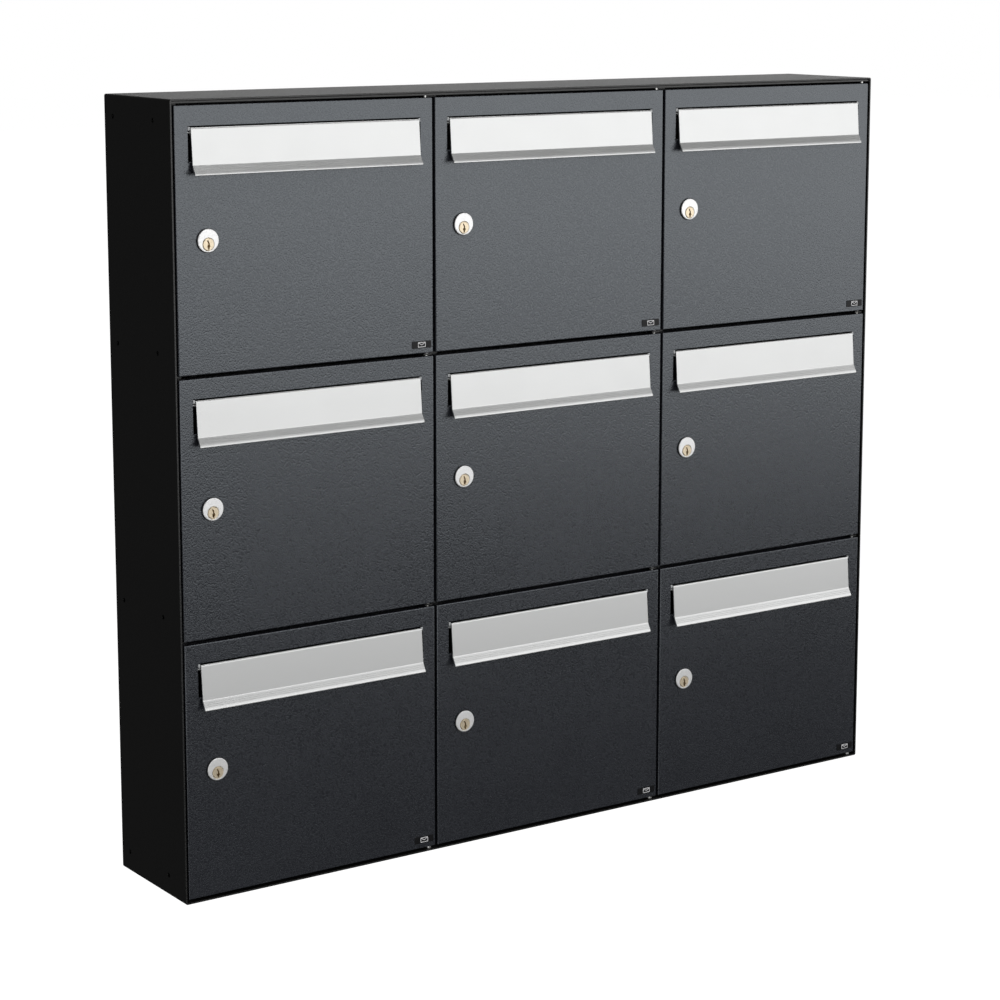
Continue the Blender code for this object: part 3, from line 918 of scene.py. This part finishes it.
@dataclass
class Door:
    """A door folded from sheet, with its letter slot. Measured from the hinge axis."""

    like: Cell
    sheet: float = 0.0012
    fold: float = 0.0013
    fold_steps: int = 5
    slot_width: float = 0.330
    slot_height: float = 0.0425
    slot_drop: float = 0.0245
    slot_corner: float = 0.0008
    sill_reach: float = 0.003
    ear_sheet: float = 0.0015
    ear_radius: float = 0.0045
    nose_steps: int = 6
    ear_steps: int = 12
    seam: float = 0.0004
    seam_reach: float = 1.5
    rod_hole: float = 0.0024
    lock_hole: float = 0.0133
    stub_hole: float = 0.0017
    edge: float = 0.00018
    low: Vector = field(init=False)
    high: Vector = field(init=False)

    def __post_init__(self) -> None:
        """Read the door's corners, with its flat face as the front."""
        self.low, self.high = box_about(f"door_{self.like.where}", self.like.hinge)
        self.low.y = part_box("casing_shell")[0].y - self.like.hinge.y

    @property
    def middle(self) -> float:
        """X of the door's middle."""
        return (self.low.x + self.high.x) / 2

    @property
    def slot_top(self) -> float:
        """Z of the letter slot's top edge."""
        return self.high.z - self.slot_drop

    def panel(self) -> bpy.types.Mesh:
        """The whole door: tray, slot, sill, ears and holes."""
        skin = self.low.y + self.sheet
        inner_low = (self.low.x + self.sheet, skin, self.low.z + self.sheet)
        inner_high = (self.high.x - self.sheet, self.high.y + CUT, self.high.z - self.sheet)
        base = carved(self.tray(), cuts=[block(inner_low, inner_high)])
        whole = carved(base, [self.sill(), *self.ears()], [*self.seams(), *self.openings()])
        return eased(whole, self.edge)

    def tray(self) -> bpy.types.Mesh:
        """The outside of the folded tray, with its four front folds round."""
        shape = bmesh.new()
        size = Matrix.Diagonal((*(self.high - self.low), 1.0))
        place = Matrix.Translation((self.low + self.high) / 2)
        bmesh.ops.create_cube(shape, size=1.0, matrix=place @ size)
        limit = self.low.y + self.sheet
        front = [edge for edge in shape.edges if all(vert.co.y < limit for vert in edge.verts)]
        round_fold = {"offset": self.fold, "segments": self.fold_steps, "profile": 0.5}
        bmesh.ops.bevel(shape, geom=front, affect="EDGES", **round_fold)
        return meshed(shape)

    def sill(self) -> bpy.types.Mesh:
        """The slot's lower edge, folded forward to carry rain off the flap's foot."""
        front, back = self.low.y - self.sill_reach, self.low.y + self.sheet / 2
        top = self.slot_top - self.slot_height
        bottom = top - self.sheet
        centre = (front + self.sheet / 2, (top + bottom) / 2)
        nose = arc(centre, self.sheet / 2, QUARTER, 3 * QUARTER, self.nose_steps)
        outline = [(back, top), *nose, (back, bottom)]
        half = self.slot_width / 2
        return extruded(outline, self.middle - half, self.middle + half, flat_yz, HAIR)

    def ears(self) -> list[bpy.types.Mesh]:
        """Two lugs behind the slot's ends that the flap's stubs turn in."""
        centre = (self.like.pivot.y - self.like.hinge.y, self.like.pivot.z - self.like.hinge.z)
        root = self.low.y + self.sheet / 2
        nose = arc(centre, self.ear_radius, -QUARTER, QUARTER, self.ear_steps)
        outline = [(root, centre[1] - self.ear_radius), *nose, (root, centre[1] + self.ear_radius)]
        ears = []
        for side in (-1, 1):
            near = self.middle + side * self.slot_width / 2
            start, end = sorted((near, near + side * self.ear_sheet))
            ears.append(extruded(outline, start, end, flat_yz))
        return ears

    def seams(self) -> list[bpy.types.Mesh]:
        """Cutters for the open seams where the flanges meet at the corners."""
        cutters = []
        for level in (-1, 1):
            rim = self.high.z if level > 0 else self.low.z
            bottom, top = sorted((rim - level * self.sheet * self.seam_reach, rim + level * CUT))
            for left in (self.low.x + self.sheet, self.high.x - self.sheet - self.seam):
                low = (left, self.low.y + self.fold * self.seam_reach, bottom)
                cutters.append(block(low, (left + self.seam, self.high.y + CUT, top)))
        return cutters

    def openings(self) -> list[bpy.types.Mesh]:
        """Cutters for the slot, the lock, the hinge rod and the flap's stubs."""
        half = self.slot_width / 2
        bottom = self.slot_top - self.slot_height
        corners = (self.middle - half, bottom), (self.middle + half, self.slot_top)
        outline = rounded_outline(*corners, self.slot_corner)
        skin = (self.low.y - CUT, self.low.y + self.sheet + CUT)
        barrel = self.like.lock - self.like.hinge
        pivot = self.like.pivot - self.like.hinge
        ears = (self.slot_width / 2 - CUT / 2, self.slot_width / 2 + CUT)
        cutters = [extruded(outline, *skin, flat_xz)]
        cutters.append(drill(*skin, self.lock_hole, ALONG_Y, (barrel.x, 0.0, 0.0), MANY_SIDES))
        cutters.append(drill(self.low.z - CUT, self.high.z + CUT, self.rod_hole, ALONG_Z))
        for side in (-1, 1):
            start, end = sorted((self.middle + side * ears[0], self.middle + side * ears[1]))
            cutters.append(drill(start, end, self.stub_hole, ALONG_X, (0.0, pivot.y, pivot.z)))
        return cutters

    def build(self, cells: Sequence[Cell]) -> None:
        """Hang a door in every letterbox."""
        panel = self.panel()
        for cell in cells:
            node = f"door_{cell.where}"
            mesh = placed(panel, cell.hinge)
            present(f"folded_door_{cell.where}", mesh, node, Finish.DOOR_ANTHRACITE, [node])


# ---- Letter flaps


@dataclass
class LetterFlap:
    """A drawn aluminium flap with a grooved lip and a rolled foot. Measured from its pivot axis."""

    like: Cell
    sheet: float = 0.002
    side_gap: float = 0.0033
    top_gap: float = 0.0026
    stand: float = 0.0002
    slant: float = 0.0035
    lap: float = 0.0045
    lip_reach: float = 0.0057
    lip_drop: float = 0.012
    nose: float = 0.0019
    nose_round: float = 0.0006
    bend_round: float = 0.0006
    shoulder_radius: float = 0.0034
    shoulder_turn: float = 38.0
    nose_steps: int = 5
    bead_steps: int = 18
    crown_steps: tuple[int, int] = (8, 7)
    groove_width: float = 0.00045
    groove_depth: float = 0.00022
    groove_places: tuple[float, ...] = (0.24, 0.42, 0.60)
    bead_radius: float = 0.0024
    web_half: float = 0.0016
    stub_radius: float = 0.0014
    bush_low: Flat = (-0.0035, 0.0024)
    bush_high: Flat = (-0.0010, 0.0070)
    bush_gap: float = 0.0004
    bush_corner: float = 0.0008
    chamfer: float = 0.00018

    def panel_points(self, door: Door) -> tuple[Vector, Vector, Vector]:
        """Front of the section as (y, z): its top, its bend and the top of its nose."""
        pivot = Vector((self.like.pivot.y, self.like.pivot.z))
        face = Vector((self.like.hinge.y + door.low.y, self.like.hinge.z + door.slot_top))
        top = face + Vector((-self.sheet - self.stand, -self.top_gap)) - pivot
        bend = top + Vector((-self.slant, self.top_gap - door.slot_height - self.lap))
        return top, bend, bend + Vector((-self.lip_reach, self.nose - self.lip_drop))

    def section(self, door: Door) -> list[Flat]:
        """The closed section: panel, grooved lip, upright nose, and the bead on its web."""
        top, bend, nose = self.panel_points(door)
        panel, lip = (bend - top).normalized(), (nose - bend).normalized()
        panel_in, lip_in = Vector((-panel.y, panel.x)), Vector((-lip.y, lip.x))
        miter = (panel_in + lip_in).normalized()
        inner_top = top + panel_in * self.sheet
        inner_bend = bend + miter * self.sheet / miter.dot(panel_in)
        tip = nose + Vector((self.nose_round, self.nose_round - self.nose))
        heel = tip + Vector((self.sheet - 2 * self.nose_round, 0.0))

        def inner_at(height: float) -> Vector:
            """The point of the panel's rear face at a height."""
            return inner_top + panel * ((height - inner_top.y) / panel.y)

        lean = math.asin(self.web_half / self.bead_radius)
        ends = (math.pi + lean, 3 * math.pi - lean)
        bead = arc((0.0, 0.0), self.bead_radius, *ends, self.bead_steps)
        outline = [*self.bend_points(bend, panel, lip), *self.grooves(bend, lip, lip_in), tuple(nose)]
        outline += arc(tuple(tip), self.nose_round, 2 * QUARTER, 3 * QUARTER, self.nose_steps)
        outline += arc(tuple(heel), self.nose_round, 3 * QUARTER, 4 * QUARTER, self.nose_steps)
        outline += [tuple(inner_bend), tuple(inner_at(-self.web_half)), *bead]
        outline += [tuple(inner_at(self.web_half)), *self.crown(top, panel, panel_in)]
        return outline

    def crown(self, top: Vector, panel: Vector, panel_in: Vector) -> list[Flat]:
        """The panel's top edge from back to front: a tight round, then a wide soft shoulder."""
        turn = math.radians(self.shoulder_turn)
        facing = math.atan2(-panel_in.y, -panel_in.x)
        back_round = (self.sheet - self.shoulder_radius * (1.0 - math.cos(turn))) / (1.0 + math.cos(turn))
        back_centre = top + panel_in * (self.sheet - back_round)
        height = (self.shoulder_radius - back_round) * math.sin(turn)
        front_centre = top + panel_in * self.shoulder_radius + panel * height
        back_steps, front_steps = self.crown_steps
        points = arc(tuple(back_centre), back_round, facing - math.pi, facing - turn, back_steps)
        front = arc(tuple(front_centre), self.shoulder_radius, facing - turn, facing, front_steps)
        return points + front[1:]

    def bend_points(self, bend: Vector, panel: Vector, lip: Vector) -> list[Flat]:
        """The bend's small outer radius."""
        reach = self.bend_round
        points = (bend - panel * reach, bend - (panel - lip) * reach / 4, bend + lip * reach)
        return [tuple(point) for point in points]

    def grooves(self, bend: Vector, lip: Vector, lip_in: Vector) -> list[Flat]:
        """Fine grooves that run along the lip."""
        length = math.hypot(self.lip_reach, self.lip_drop)
        points = []
        for share in self.groove_places:
            middle = bend + lip * length * share
            half = self.groove_width / 2
            floor = middle + lip_in * self.groove_depth
            points += [middle - lip * half, floor - lip * half / 2]
            points += [floor + lip * half / 2, middle + lip * half]
        return [tuple(point) for point in points]

    def profile(self, door: Door) -> bpy.types.Mesh:
        """The flap with a stub at each end."""
        half = door.slot_width / 2 - self.side_gap
        body = extruded(self.section(door), -half, half, flat_yz, self.chamfer)
        low, high = box_about(f"flap_{self.like.where}", self.like.pivot)
        spans = ((low.x, CUT - half), (half - CUT, high.x))
        stubs = [drill(*span, self.stub_radius, ALONG_X, segments=FEW_SIDES) for span in spans]
        return eased(carved(body, stubs))

    def bush(self, door: Door, side: int) -> bpy.types.Mesh:
        """The moulded end block that keeps the flap in the middle of its slot."""
        half = door.slot_width / 2
        ends = sorted((side * (half - self.side_gap + HAIR), side * (half - self.bush_gap)))
        outline = rounded_outline(self.bush_low, self.bush_high, self.bush_corner, 4)
        return eased(extruded(outline, *ends, flat_yz, HAIR))

    def build(self, cells: Sequence[Cell], door: Door) -> None:
        """Hang a flap in every door."""
        profile = self.profile(door)
        bushes = {"left": self.bush(door, -1), "right": self.bush(door, 1)}
        for cell in cells:
            node = f"flap_{cell.where}"
            mesh = placed(profile, cell.pivot)
            present(f"letter_flap_{cell.where}", mesh, node, Finish.FLAP_SATIN, [node])
            for side, bush in bushes.items():
                mesh = placed(bush, cell.pivot)
                present(f"flap_bush_{side}_{cell.where}", mesh, node, Finish.BUSH_GREY)


# ---- Locks


@dataclass
class Lock:
    """A pin cylinder lock, its nut, its plug and its cam. Measured from the plug's axis."""

    like: Cell
    plug_drop: float = 0.0044
    face_round: float = 0.0009
    face_reach: float = 0.0013
    # How far the black ring of painted shade reaches past the housing's face.
    shade_ring_lip: float = 0.0005
    plug_radius: float = 0.0073
    play: float = 0.0003
    rim: float = 0.0004
    flare: float = 0.0009
    keyway_depth: float = 0.012
    keyway_slot: tuple[Flat, ...] = (
        (-0.0021, 0.0049),
        (-0.0006, 0.0052),
        (0.0015, 0.0010),
        (0.0013, -0.0016),
        (-0.0011, -0.0016),
        (-0.0006, 0.0006),
    )
    channel_radius: float = 0.0021
    channel_centre: Flat = (0.0002, -0.0023)
    foot_low: Flat = (-0.0010, -0.0062)
    foot_high: Flat = (0.0012, -0.0030)
    tail_radius: float = 0.004
    nut_half: float = 0.0150
    nut_height: float = 0.004
    nut_bore: float = 0.0131
    washer_height: float = 0.0008
    washer_radius: float = 0.0168
    skin: float = 0.0012
    thread_pitch: float = 0.0015
    thread_depth: float = 0.00045
    thread_bite: float = 0.6
    cam_edge: float = 0.0003
    cam_corner: float = 0.0022
    screw_half: float = 0.0048
    touch: float = 0.0003
    face_steps: int = 5
    cam_steps: tuple[int, int] = (16, 4)
    thread_sides: int = 4

    def box(self, kind: str) -> tuple[Vector, Vector]:
        """The corners of one of the lock's nodes."""
        return box_about(f"{kind}_{self.like.where}", self.like.lock)

    @property
    def centre(self) -> Triple:
        """A point on the housing's own axis, above the plug's."""
        return (0.0, 0.0, self.plug_drop)

    @property
    def radius(self) -> float:
        """Radius of the housing's face."""
        low, high = self.box("lock_body")
        return (high.x - low.x) / 2

    @property
    def barrel(self) -> float:
        """Radius of the housing's barrel."""
        return self.radius - self.face_reach

    def body(self) -> bpy.types.Mesh:
        """The housing: a bright flat face on a barrel, bored off centre for the plug."""
        low, high = self.box("lock_body")
        radius, barrel = self.radius, self.barrel
        front, neck = low.y, low.y + self.face_round + self.touch
        centre = (front + self.face_round, radius - self.face_round)
        edge = arc(centre, self.face_round, 2 * QUARTER, QUARTER, self.face_steps)
        profile = [(front, self.rim), *edge]
        profile += [(neck, radius), (neck, barrel), (high.y - self.rim, barrel)]
        profile.append((high.y, barrel - self.rim))
        housing = turned(profile, centre=self.centre, segments=MANY_SIDES)
        bore = self.plug_radius + self.play
        flare = [(front - CUT, bore + CUT + self.flare), (front + self.flare, bore), (high.y + CUT, bore)]
        mesh = carved(housing, cuts=[turned(flare, segments=MANY_SIDES)])
        return with_own_place(eased(mesh), self.plug_drop)

    def shade_ring_mesh(self) -> bpy.types.Mesh:
        """A black ring between the housing's face and the door: painted shade, standing in for the dark
        crescent of shade and dark reflection at the housing's side.
        """
        about = (ALONG_Y, self.centre, MANY_SIDES)
        start = self.box("lock_body")[0].y + self.face_round + self.touch + HAIR / 2
        ring = drill(start, -HAIR / 2, self.radius + self.shade_ring_lip, *about)
        return eased(carved(ring, cuts=[drill(start - CUT, CUT, self.barrel + HAIR / 2, *about)]))

    def plug(self) -> bpy.types.Mesh:
        """The brass plug with its winding keyway, and the tail behind it."""
        low, high = self.box("lock_plug")
        front, shoulder = low.y, self.box("lock_cam")[0].y - self.touch
        profile = [(front, self.plug_radius - self.rim), (front + self.rim, self.plug_radius)]
        profile += [(shoulder, self.plug_radius), (shoulder, self.tail_radius), (high.y, self.tail_radius)]
        body = turned(profile, segments=MANY_SIDES)
        return with_own_place(eased(carved(body, cuts=self.keyway(front))))

    def keyway(self, front: float) -> list[bpy.types.Mesh]:
        """Cutters for the keyway: a slanting slot, a round channel and a straight foot."""
        span = (front - CUT, front + self.keyway_depth)
        middle = flat_xz(*self.channel_centre, 0.0)
        channel = drill(*span, self.channel_radius, centre=middle, segments=FEW_SIDES)
        foot = block(flat_xz(*self.foot_low, span[0]), flat_xz(*self.foot_high, span[1]))
        return [extruded(self.keyway_slot, *span, flat_xz), channel, foot]

    def cam(self) -> bpy.types.Mesh:
        """The cam plate, with round corners at its foot and a hole for the plug's tail."""
        low, high = self.box("lock_cam")
        half = (high.x - low.x) / 2
        reach, level = half - self.cam_corner, low.z + self.cam_corner
        head_steps, corner_steps = self.cam_steps
        outline = arc((0.0, 0.0), half, 0.0, 2 * QUARTER, head_steps)
        outline += arc((-reach, level), self.cam_corner, 2 * QUARTER, 3 * QUARTER, corner_steps)
        outline += arc((reach, level), self.cam_corner, 3 * QUARTER, 4 * QUARTER, corner_steps)
        plate = extruded(outline, low.y, high.y, flat_xz, self.cam_edge)
        hole = drill(low.y - CUT, high.y + CUT, self.tail_radius + self.touch)
        return eased(carved(plate, cuts=[hole]))

    def cam_nut(self) -> bpy.types.Mesh:
        """The hexagon nut that holds the cam on the tail."""
        start, end = self.box("lock_cam")[1].y + HAIR, self.box("lock_plug")[1].y
        nut = extruded(hexagon((0.0, 0.0), self.screw_half), start, end - HAIR, flat_xz, self.cam_edge)
        bore = drill(start - CUT, end + CUT, self.tail_radius + self.play / 3)
        return eased(carved(nut, cuts=[bore]))

    def door_nut(self) -> bpy.types.Mesh:
        """The large nut and its washer that clamp the housing to the door."""
        about = (ALONG_Y, self.centre, MANY_SIDES)
        start = self.skin + HAIR
        seat = start + self.washer_height
        end = seat + self.nut_height
        washer = drill(start, seat, self.washer_radius, *about)
        nut = extruded(hexagon((0.0, self.plug_drop), self.nut_half), seat - HAIR, end, flat_xz, self.rim)
        return eased(carved(washer, [nut], [drill(start - CUT, end + CUT, self.nut_bore, *about)]))

    def thread(self) -> bpy.types.Mesh:
        """The screw thread that runs along the barrel behind the door."""
        numbers = ("Thread Radius", "Thread Length", "Turns", "Thread Depth")
        inputs = dict.fromkeys(numbers, "NodeSocketFloat")
        inputs |= {"Start": "NodeSocketVector", "Finish": "NodeSocketMaterial"}
        recipe = Recipe("screw_thread", inputs)
        source = recipe.source
        radius, length = source["Thread Radius"], source["Thread Length"]
        sockets = {"Resolution": SIDES, "Rotations": source["Turns"], "Height": length}
        sockets |= {"Start Radius": radius, "End Radius": radius}
        spiral = recipe.node("GeometryNodeCurveSpiral", sockets=sockets)
        sockets = {"Resolution": self.thread_sides, "Radius": source["Thread Depth"]}
        ridge = recipe.node("GeometryNodeCurvePrimitiveCircle", sockets=sockets)
        sockets = {"Curve": spiral.outputs[0], "Profile Curve": ridge.outputs[0], "Fill Caps": True}
        swept = recipe.node("GeometryNodeCurveToMesh", sockets=sockets)
        sockets = {"Geometry": swept.outputs[0], "Translation": source["Start"]}
        sockets["Rotation"] = Euler((-QUARTER, 0.0, 0.0))
        laid = recipe.node("GeometryNodeTransform", sockets=sockets)
        recipe.close(laid.outputs[0])
        start, end = self.skin + self.thread_depth, self.box("lock_body")[1].y - 2 * self.rim
        values = {
            "Thread Radius": self.barrel - self.thread_depth * self.thread_bite,
            "Thread Length": end - start,
            "Turns": (end - start) / self.thread_pitch,
            "Thread Depth": self.thread_depth,
            "Start": (0.0, start, self.plug_drop),
            "Finish": palette[Finish.LOCK_NICKEL],
        }
        return recipe.run(bpy.data.meshes.new("empty"), values)

    def build(self, cells: Sequence[Cell]) -> None:
        """Fit a lock in every door."""
        made = {
            "lock_cylinder": (self.body(), "door", Finish.LOCK_NICKEL, "lock_body"),
            # The black ring below is painted shade: it darkens the housing's side where shade and dark
            # reflection fall.
            "seal_ring": (self.shade_ring_mesh(), "door", Finish.SEAL_BLACK, None),
            "barrel_thread": (self.thread(), "door", Finish.LOCK_NICKEL, None),
            "lock_nut": (self.door_nut(), "door", Finish.ZINC, None),
            "keyed_plug": (self.plug(), "lock", Finish.PLUG_BRASS, "lock_plug"),
            "cam_plate": (self.cam(), "lock", Finish.ZINC, "lock_cam"),
            "cam_nut": (self.cam_nut(), "lock", Finish.ZINC, None),
        }
        for cell in cells:
            for name, (mesh, body, finish, node) in made.items():
                stands_for = [f"{node}_{cell.where}"] if node else []
                piece = placed(mesh, cell.lock)
                present(f"{name}_{cell.where}", piece, f"{body}_{cell.where}", finish, stands_for)


# ---- Badges and rivets


@dataclass
class Badge:
    """A small black plate with a plain letter sign, at the foot of the doors in two rows."""

    width: float = 0.029
    height: float = 0.0093
    inset_right: float = 0.0036
    inset_bottom: float = 0.0068
    plate: float = 0.0007
    corner: float = 0.0009
    line: float = 0.0008
    relief: float = 0.00015
    sign_width: float = 0.0115
    sign_height: float = 0.0066
    fold_reach: float = 0.15

    def plate_mesh(self, corner: Vector) -> bpy.types.Mesh:
        """The plate; corner is its lower right corner on the door's face."""
        low = (corner.x - self.width, corner.z)
        high = (corner.x, corner.z + self.height)
        outline = rounded_outline(low, high, self.corner, 4)
        return eased(extruded(outline, corner.y - self.plate, corner.y - HAIR / 4, flat_xz, HAIR))

    def sign_mesh(self, corner: Vector) -> bpy.types.Mesh:
        """A letter seen from its back: a frame with the two slanting edges of its fold."""
        middle = Vector((corner.x - self.width / 2, corner.z + self.height / 2))
        half = Vector((self.sign_width / 2, self.sign_height / 2))
        front = corner.y - self.plate - self.relief
        span = (front, corner.y - self.plate + HAIR / 2)
        outer = rounded_outline(tuple(middle - half), tuple(middle + half), self.line)
        inner_half = half - Vector((self.line, self.line))
        hole = rounded_outline(tuple(middle - inner_half), tuple(middle + inner_half), self.line / 3)
        window = extruded(hole, front - CUT, corner.y + CUT, flat_xz)
        ring = carved(extruded(outer, *span, flat_xz), cuts=[window])
        folds = []
        for side in (-1, 1):
            start = middle + Vector((side * inner_half.x, inner_half.y))
            end = middle + Vector((0.0, -inner_half.y * self.fold_reach))
            along = (end - start).normalized()
            across = Vector((-along.y, along.x)) * self.line / 2
            near, far = start - along * self.line / 2, end + along * self.line / 2
            stroke = [near - across, far - across, far + across, near + across]
            folds.append(extruded([tuple(point) for point in stroke], *span, flat_xz))
        return eased(carved(ring, folds))

    def build(self, cells: Sequence[Cell]) -> None:
        """Stick a badge on each door of the rows that have one."""
        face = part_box("casing_shell")[0].y
        for cell in cells:
            if cell.row not in BADGE_ROWS:
                continue
            low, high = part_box(f"door_{cell.where}")
            corner = Vector((high.x - self.inset_right, face, low.z + self.inset_bottom))
            body = f"door_{cell.where}"
            present(f"badge_plate_{cell.where}", self.plate_mesh(corner), body, Finish.BADGE_BLACK)
            present(f"badge_sign_{cell.where}", self.sign_mesh(corner), body, Finish.BADGE_SIGN)


@dataclass
class Rivets:
    """Blind rivets that hold the shelves' turned down flanges to the walls beside them."""

    head_radius: float = 0.0030
    head_height: float = 0.0011
    flange_drop: float = 0.0062
    sheet: float = 0.0015
    first: float = 0.030
    count: int = 3
    head_sides: int = 16
    head_rings: int = 10

    def seats(self) -> bpy.types.Mesh:
        """One point for each rivet, with the way that its head faces."""
        points: list[Vector] = []
        facings: list[Vector] = []
        for node in Casing.shelves():
            low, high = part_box(node)
            depth = high.y - low.y - 2 * self.first
            for side, x in ((1.0, low.x + self.sheet), (-1.0, high.x - self.sheet)):
                for step in range(self.count):
                    y = low.y + self.first + depth * step / (self.count - 1)
                    points.append(Vector((x, y, high.z - self.flange_drop)))
                    facings.append(Vector((side, 0.0, 0.0)))
        mesh = bpy.data.meshes.new("rivet_seats")
        mesh.from_pydata(points, [], [])
        note = mesh.attributes.new("facing", "FLOAT_VECTOR", "POINT")
        for point, facing in zip(note.data, facings):
            point.vector = facing
        return mesh

    def recipe(self) -> Recipe:
        """A tree that sets a domed head on every point, turned the way the point faces."""
        inputs = dict.fromkeys(("Head Radius", "Head Height"), "NodeSocketFloat")
        recipe = Recipe("rivet_heads", inputs | {"Finish": "NodeSocketMaterial"})
        source = recipe.source
        sockets = {"Segments": self.head_sides, "Rings": self.head_rings, "Radius": source["Head Radius"]}
        ball = recipe.node("GeometryNodeMeshUVSphere", sockets=sockets)
        sockets = {0: source["Head Height"], 1: source["Head Radius"]}
        flatness = recipe.node("ShaderNodeMath", {"operation": "DIVIDE"}, sockets)
        squash = recipe.node("ShaderNodeCombineXYZ", sockets={0: 1.0, 1: 1.0, 2: flatness.outputs[0]})
        sockets = {"Geometry": ball.outputs[0], "Scale": squash.outputs[0]}
        dome = recipe.node("GeometryNodeTransform", sockets=sockets)
        settings = {"data_type": "FLOAT_VECTOR"}
        facing = recipe.node("GeometryNodeInputNamedAttribute", settings, {"Name": "facing"})
        sockets = {"Vector": facing.outputs[0]}
        turn = recipe.node("FunctionNodeAlignRotationToVector", {"axis": "Z"}, sockets)
        sockets = {"Points": source["Geometry"], "Instance": dome.outputs[0], "Rotation": turn.outputs[0]}
        recipe.close(recipe.node("GeometryNodeInstanceOnPoints", sockets=sockets).outputs[0])
        return recipe

    def build(self) -> None:
        """Set every rivet of the cabinet."""
        values = {
            "Head Radius": self.head_radius,
            "Head Height": self.head_height,
            "Finish": palette[Finish.ZINC],
        }
        present("shelf_rivets", self.recipe().run(self.seats(), values), "cabinet", Finish.ZINC)


# ---- Studio


@dataclass(frozen=True)
class Card:
    """A soft rectangular light."""

    name: str
    centre: Triple
    aim: Triple
    width: float
    height: float
    radiance: float

    def hang(self) -> bpy.types.Object:
        """Hang the light, out of the camera's sight."""
        light = bpy.data.lights.new(self.name, "AREA")
        light.shape = "RECTANGLE"
        light.size = self.width
        light.size_y = self.height
        light.energy = self.radiance * math.pi * self.width * self.height
        lamp = linked(bpy.data.objects.new(self.name, light))
        lamp.location = self.centre
        sight = Vector(self.aim) - Vector(self.centre)
        lamp.rotation_euler = sight.to_track_quat("-Z", "Y").to_euler()
        lamp.visible_camera = False
        return lamp


@dataclass
class Studio:
    """The camera, the soft light and the pale floor."""

    eye: Triple = (-1.9939, -2.9510, 0.6505)
    heading: float = 34.54
    pitch: float = -9.37
    focal_length: float = 93.8
    lens_shift: float = -0.1
    sight_end: float = 200.0
    ambient: float = 0.05
    front_ambient: float = 0.085
    right_ambient: float = 0.18
    front_fade: Flat = (0.5, -2.0)
    right_fade: Flat = (0.2, 1.6)
    rear_fade: Flat = (0.6, 1.4)
    floor_drop: float = 1.0
    floor_side: float = 60.0
    floor_grey: float = 0.25
    floor_roughness: float = 0.9
    floor_glow: float = 1.0
    cards: tuple[Card, ...] = (
        Card("front_card", (1.80, -3.35, 0.95), (0.0, 0.0, 0.95), 6.4, 3.05, 1.65),
        Card("top_card", (0.4, -0.7, 3.2), (0.0, -0.1, 0.2), 3.6, 1.6, 2.3),
        Card("left_card", (-3.2, -3.0, 0.9), (0.0, 0.0, 0.0), 2.4, 2.4, 1.0),
        Card("low_card", (-1.9, -2.1, -1.30), (0.0, -0.1, 0.0), 3.2, 1.2, 1.1),
        Card("rear_card", (2.2, 2.7, 0.6), (0.0, 0.0, 0.0), 2.6, 2.2, 0.6),
    )

    def place_camera(self) -> None:
        """Stand the camera left of the bank, a little above it."""
        data = bpy.data.cameras.new("camera")
        data.lens = self.focal_length
        data.shift_y = self.lens_shift
        data.clip_end = self.sight_end
        camera = linked(bpy.data.objects.new("camera", data))
        camera.location = self.eye
        camera.rotation_euler = (math.radians(90.0 + self.pitch), 0.0, -math.radians(self.heading))
        bpy.context.scene.camera = camera

    def light(self) -> None:
        """Hang the cards in a dim room that looks white."""
        world = bpy.data.worlds.new("room")
        world.use_nodes = True
        world.node_tree.nodes.clear()
        sheet = NodeSheet(world.node_tree)
        plain = {"Color": (1.0, 1.0, 1.0, 1.0)}
        sight = sheet.node("ShaderNodeLightPath").outputs["Is Camera Ray"]
        way = sheet.node("ShaderNodeTexCoord").outputs["Generated"]
        parts = sheet.node("ShaderNodeSeparateXYZ", sockets={0: way})
        across, depth = Signal(sheet, parts.outputs["X"]), Signal(sheet, parts.outputs["Y"])
        forward = depth.ramp(*self.front_fade)
        rightward = across.ramp(*self.right_fade) * depth.ramp(*self.rear_fade)
        level = self.ambient + (self.front_ambient - self.ambient) * forward
        level = level + self.right_ambient * rightward
        dim = sheet.node("ShaderNodeBackground", sockets={**plain, "Strength": level})
        white = sheet.node("ShaderNodeBackground", sockets={**plain, "Strength": 1.0})
        sockets = {0: sight, 1: dim.outputs[0], 2: white.outputs[0]}
        both = sheet.node("ShaderNodeMixShader", sockets=sockets)
        sheet.node("ShaderNodeOutputWorld", sockets={"Surface": both.outputs[0]})
        bpy.context.scene.world = world
        for card in self.cards:
            card.hang()

    def lay_floor(self) -> None:
        """Lay a plain pale floor well below the bank."""
        half = self.floor_side / 2
        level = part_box("casing_shell")[0].z - self.floor_drop
        mesh = bpy.data.meshes.new("floor")
        corners = [(x * half, y * half, level) for x, y in ((-1, -1), (1, -1), (1, 1), (-1, 1))]
        mesh.from_pydata(corners, [], [(0, 1, 2, 3)])
        floor = linked(bpy.data.objects.new("floor", mesh))
        sheet = ShaderSheet("pale_floor")
        grey = (self.floor_grey, self.floor_grey, self.floor_grey, 1.0)
        sheet.constant(Base_Color=grey, Roughness=self.floor_roughness)
        sheet.constant(Emission_Color=(1.0, 1.0, 1.0, 1.0), Emission_Strength=self.floor_glow)
        mesh.materials.append(sheet.material)
        floor.visible_diffuse = False
        floor.visible_glossy = False

    def build(self) -> None:
        """Set up the studio; the colours are shown as they are."""
        self.place_camera()
        self.light()
        self.lay_floor()
        bpy.context.scene.view_settings.view_transform = "Standard"


# ---- The whole


def main() -> None:
    """Build the studio and every sub-assembly in order."""
    logging.basicConfig(level=logging.INFO, format="%(message)s")
    Studio().build()
    cells = read_cells()
    like = cells[0]
    Casing().build(cells)
    door = Door(like)
    door.build(cells)
    LetterFlap(like).build(cells, door)
    Lock(like).build(cells)
    Badge().build(cells)
    Rivets().build()


if __name__ == "__main__":
    main()
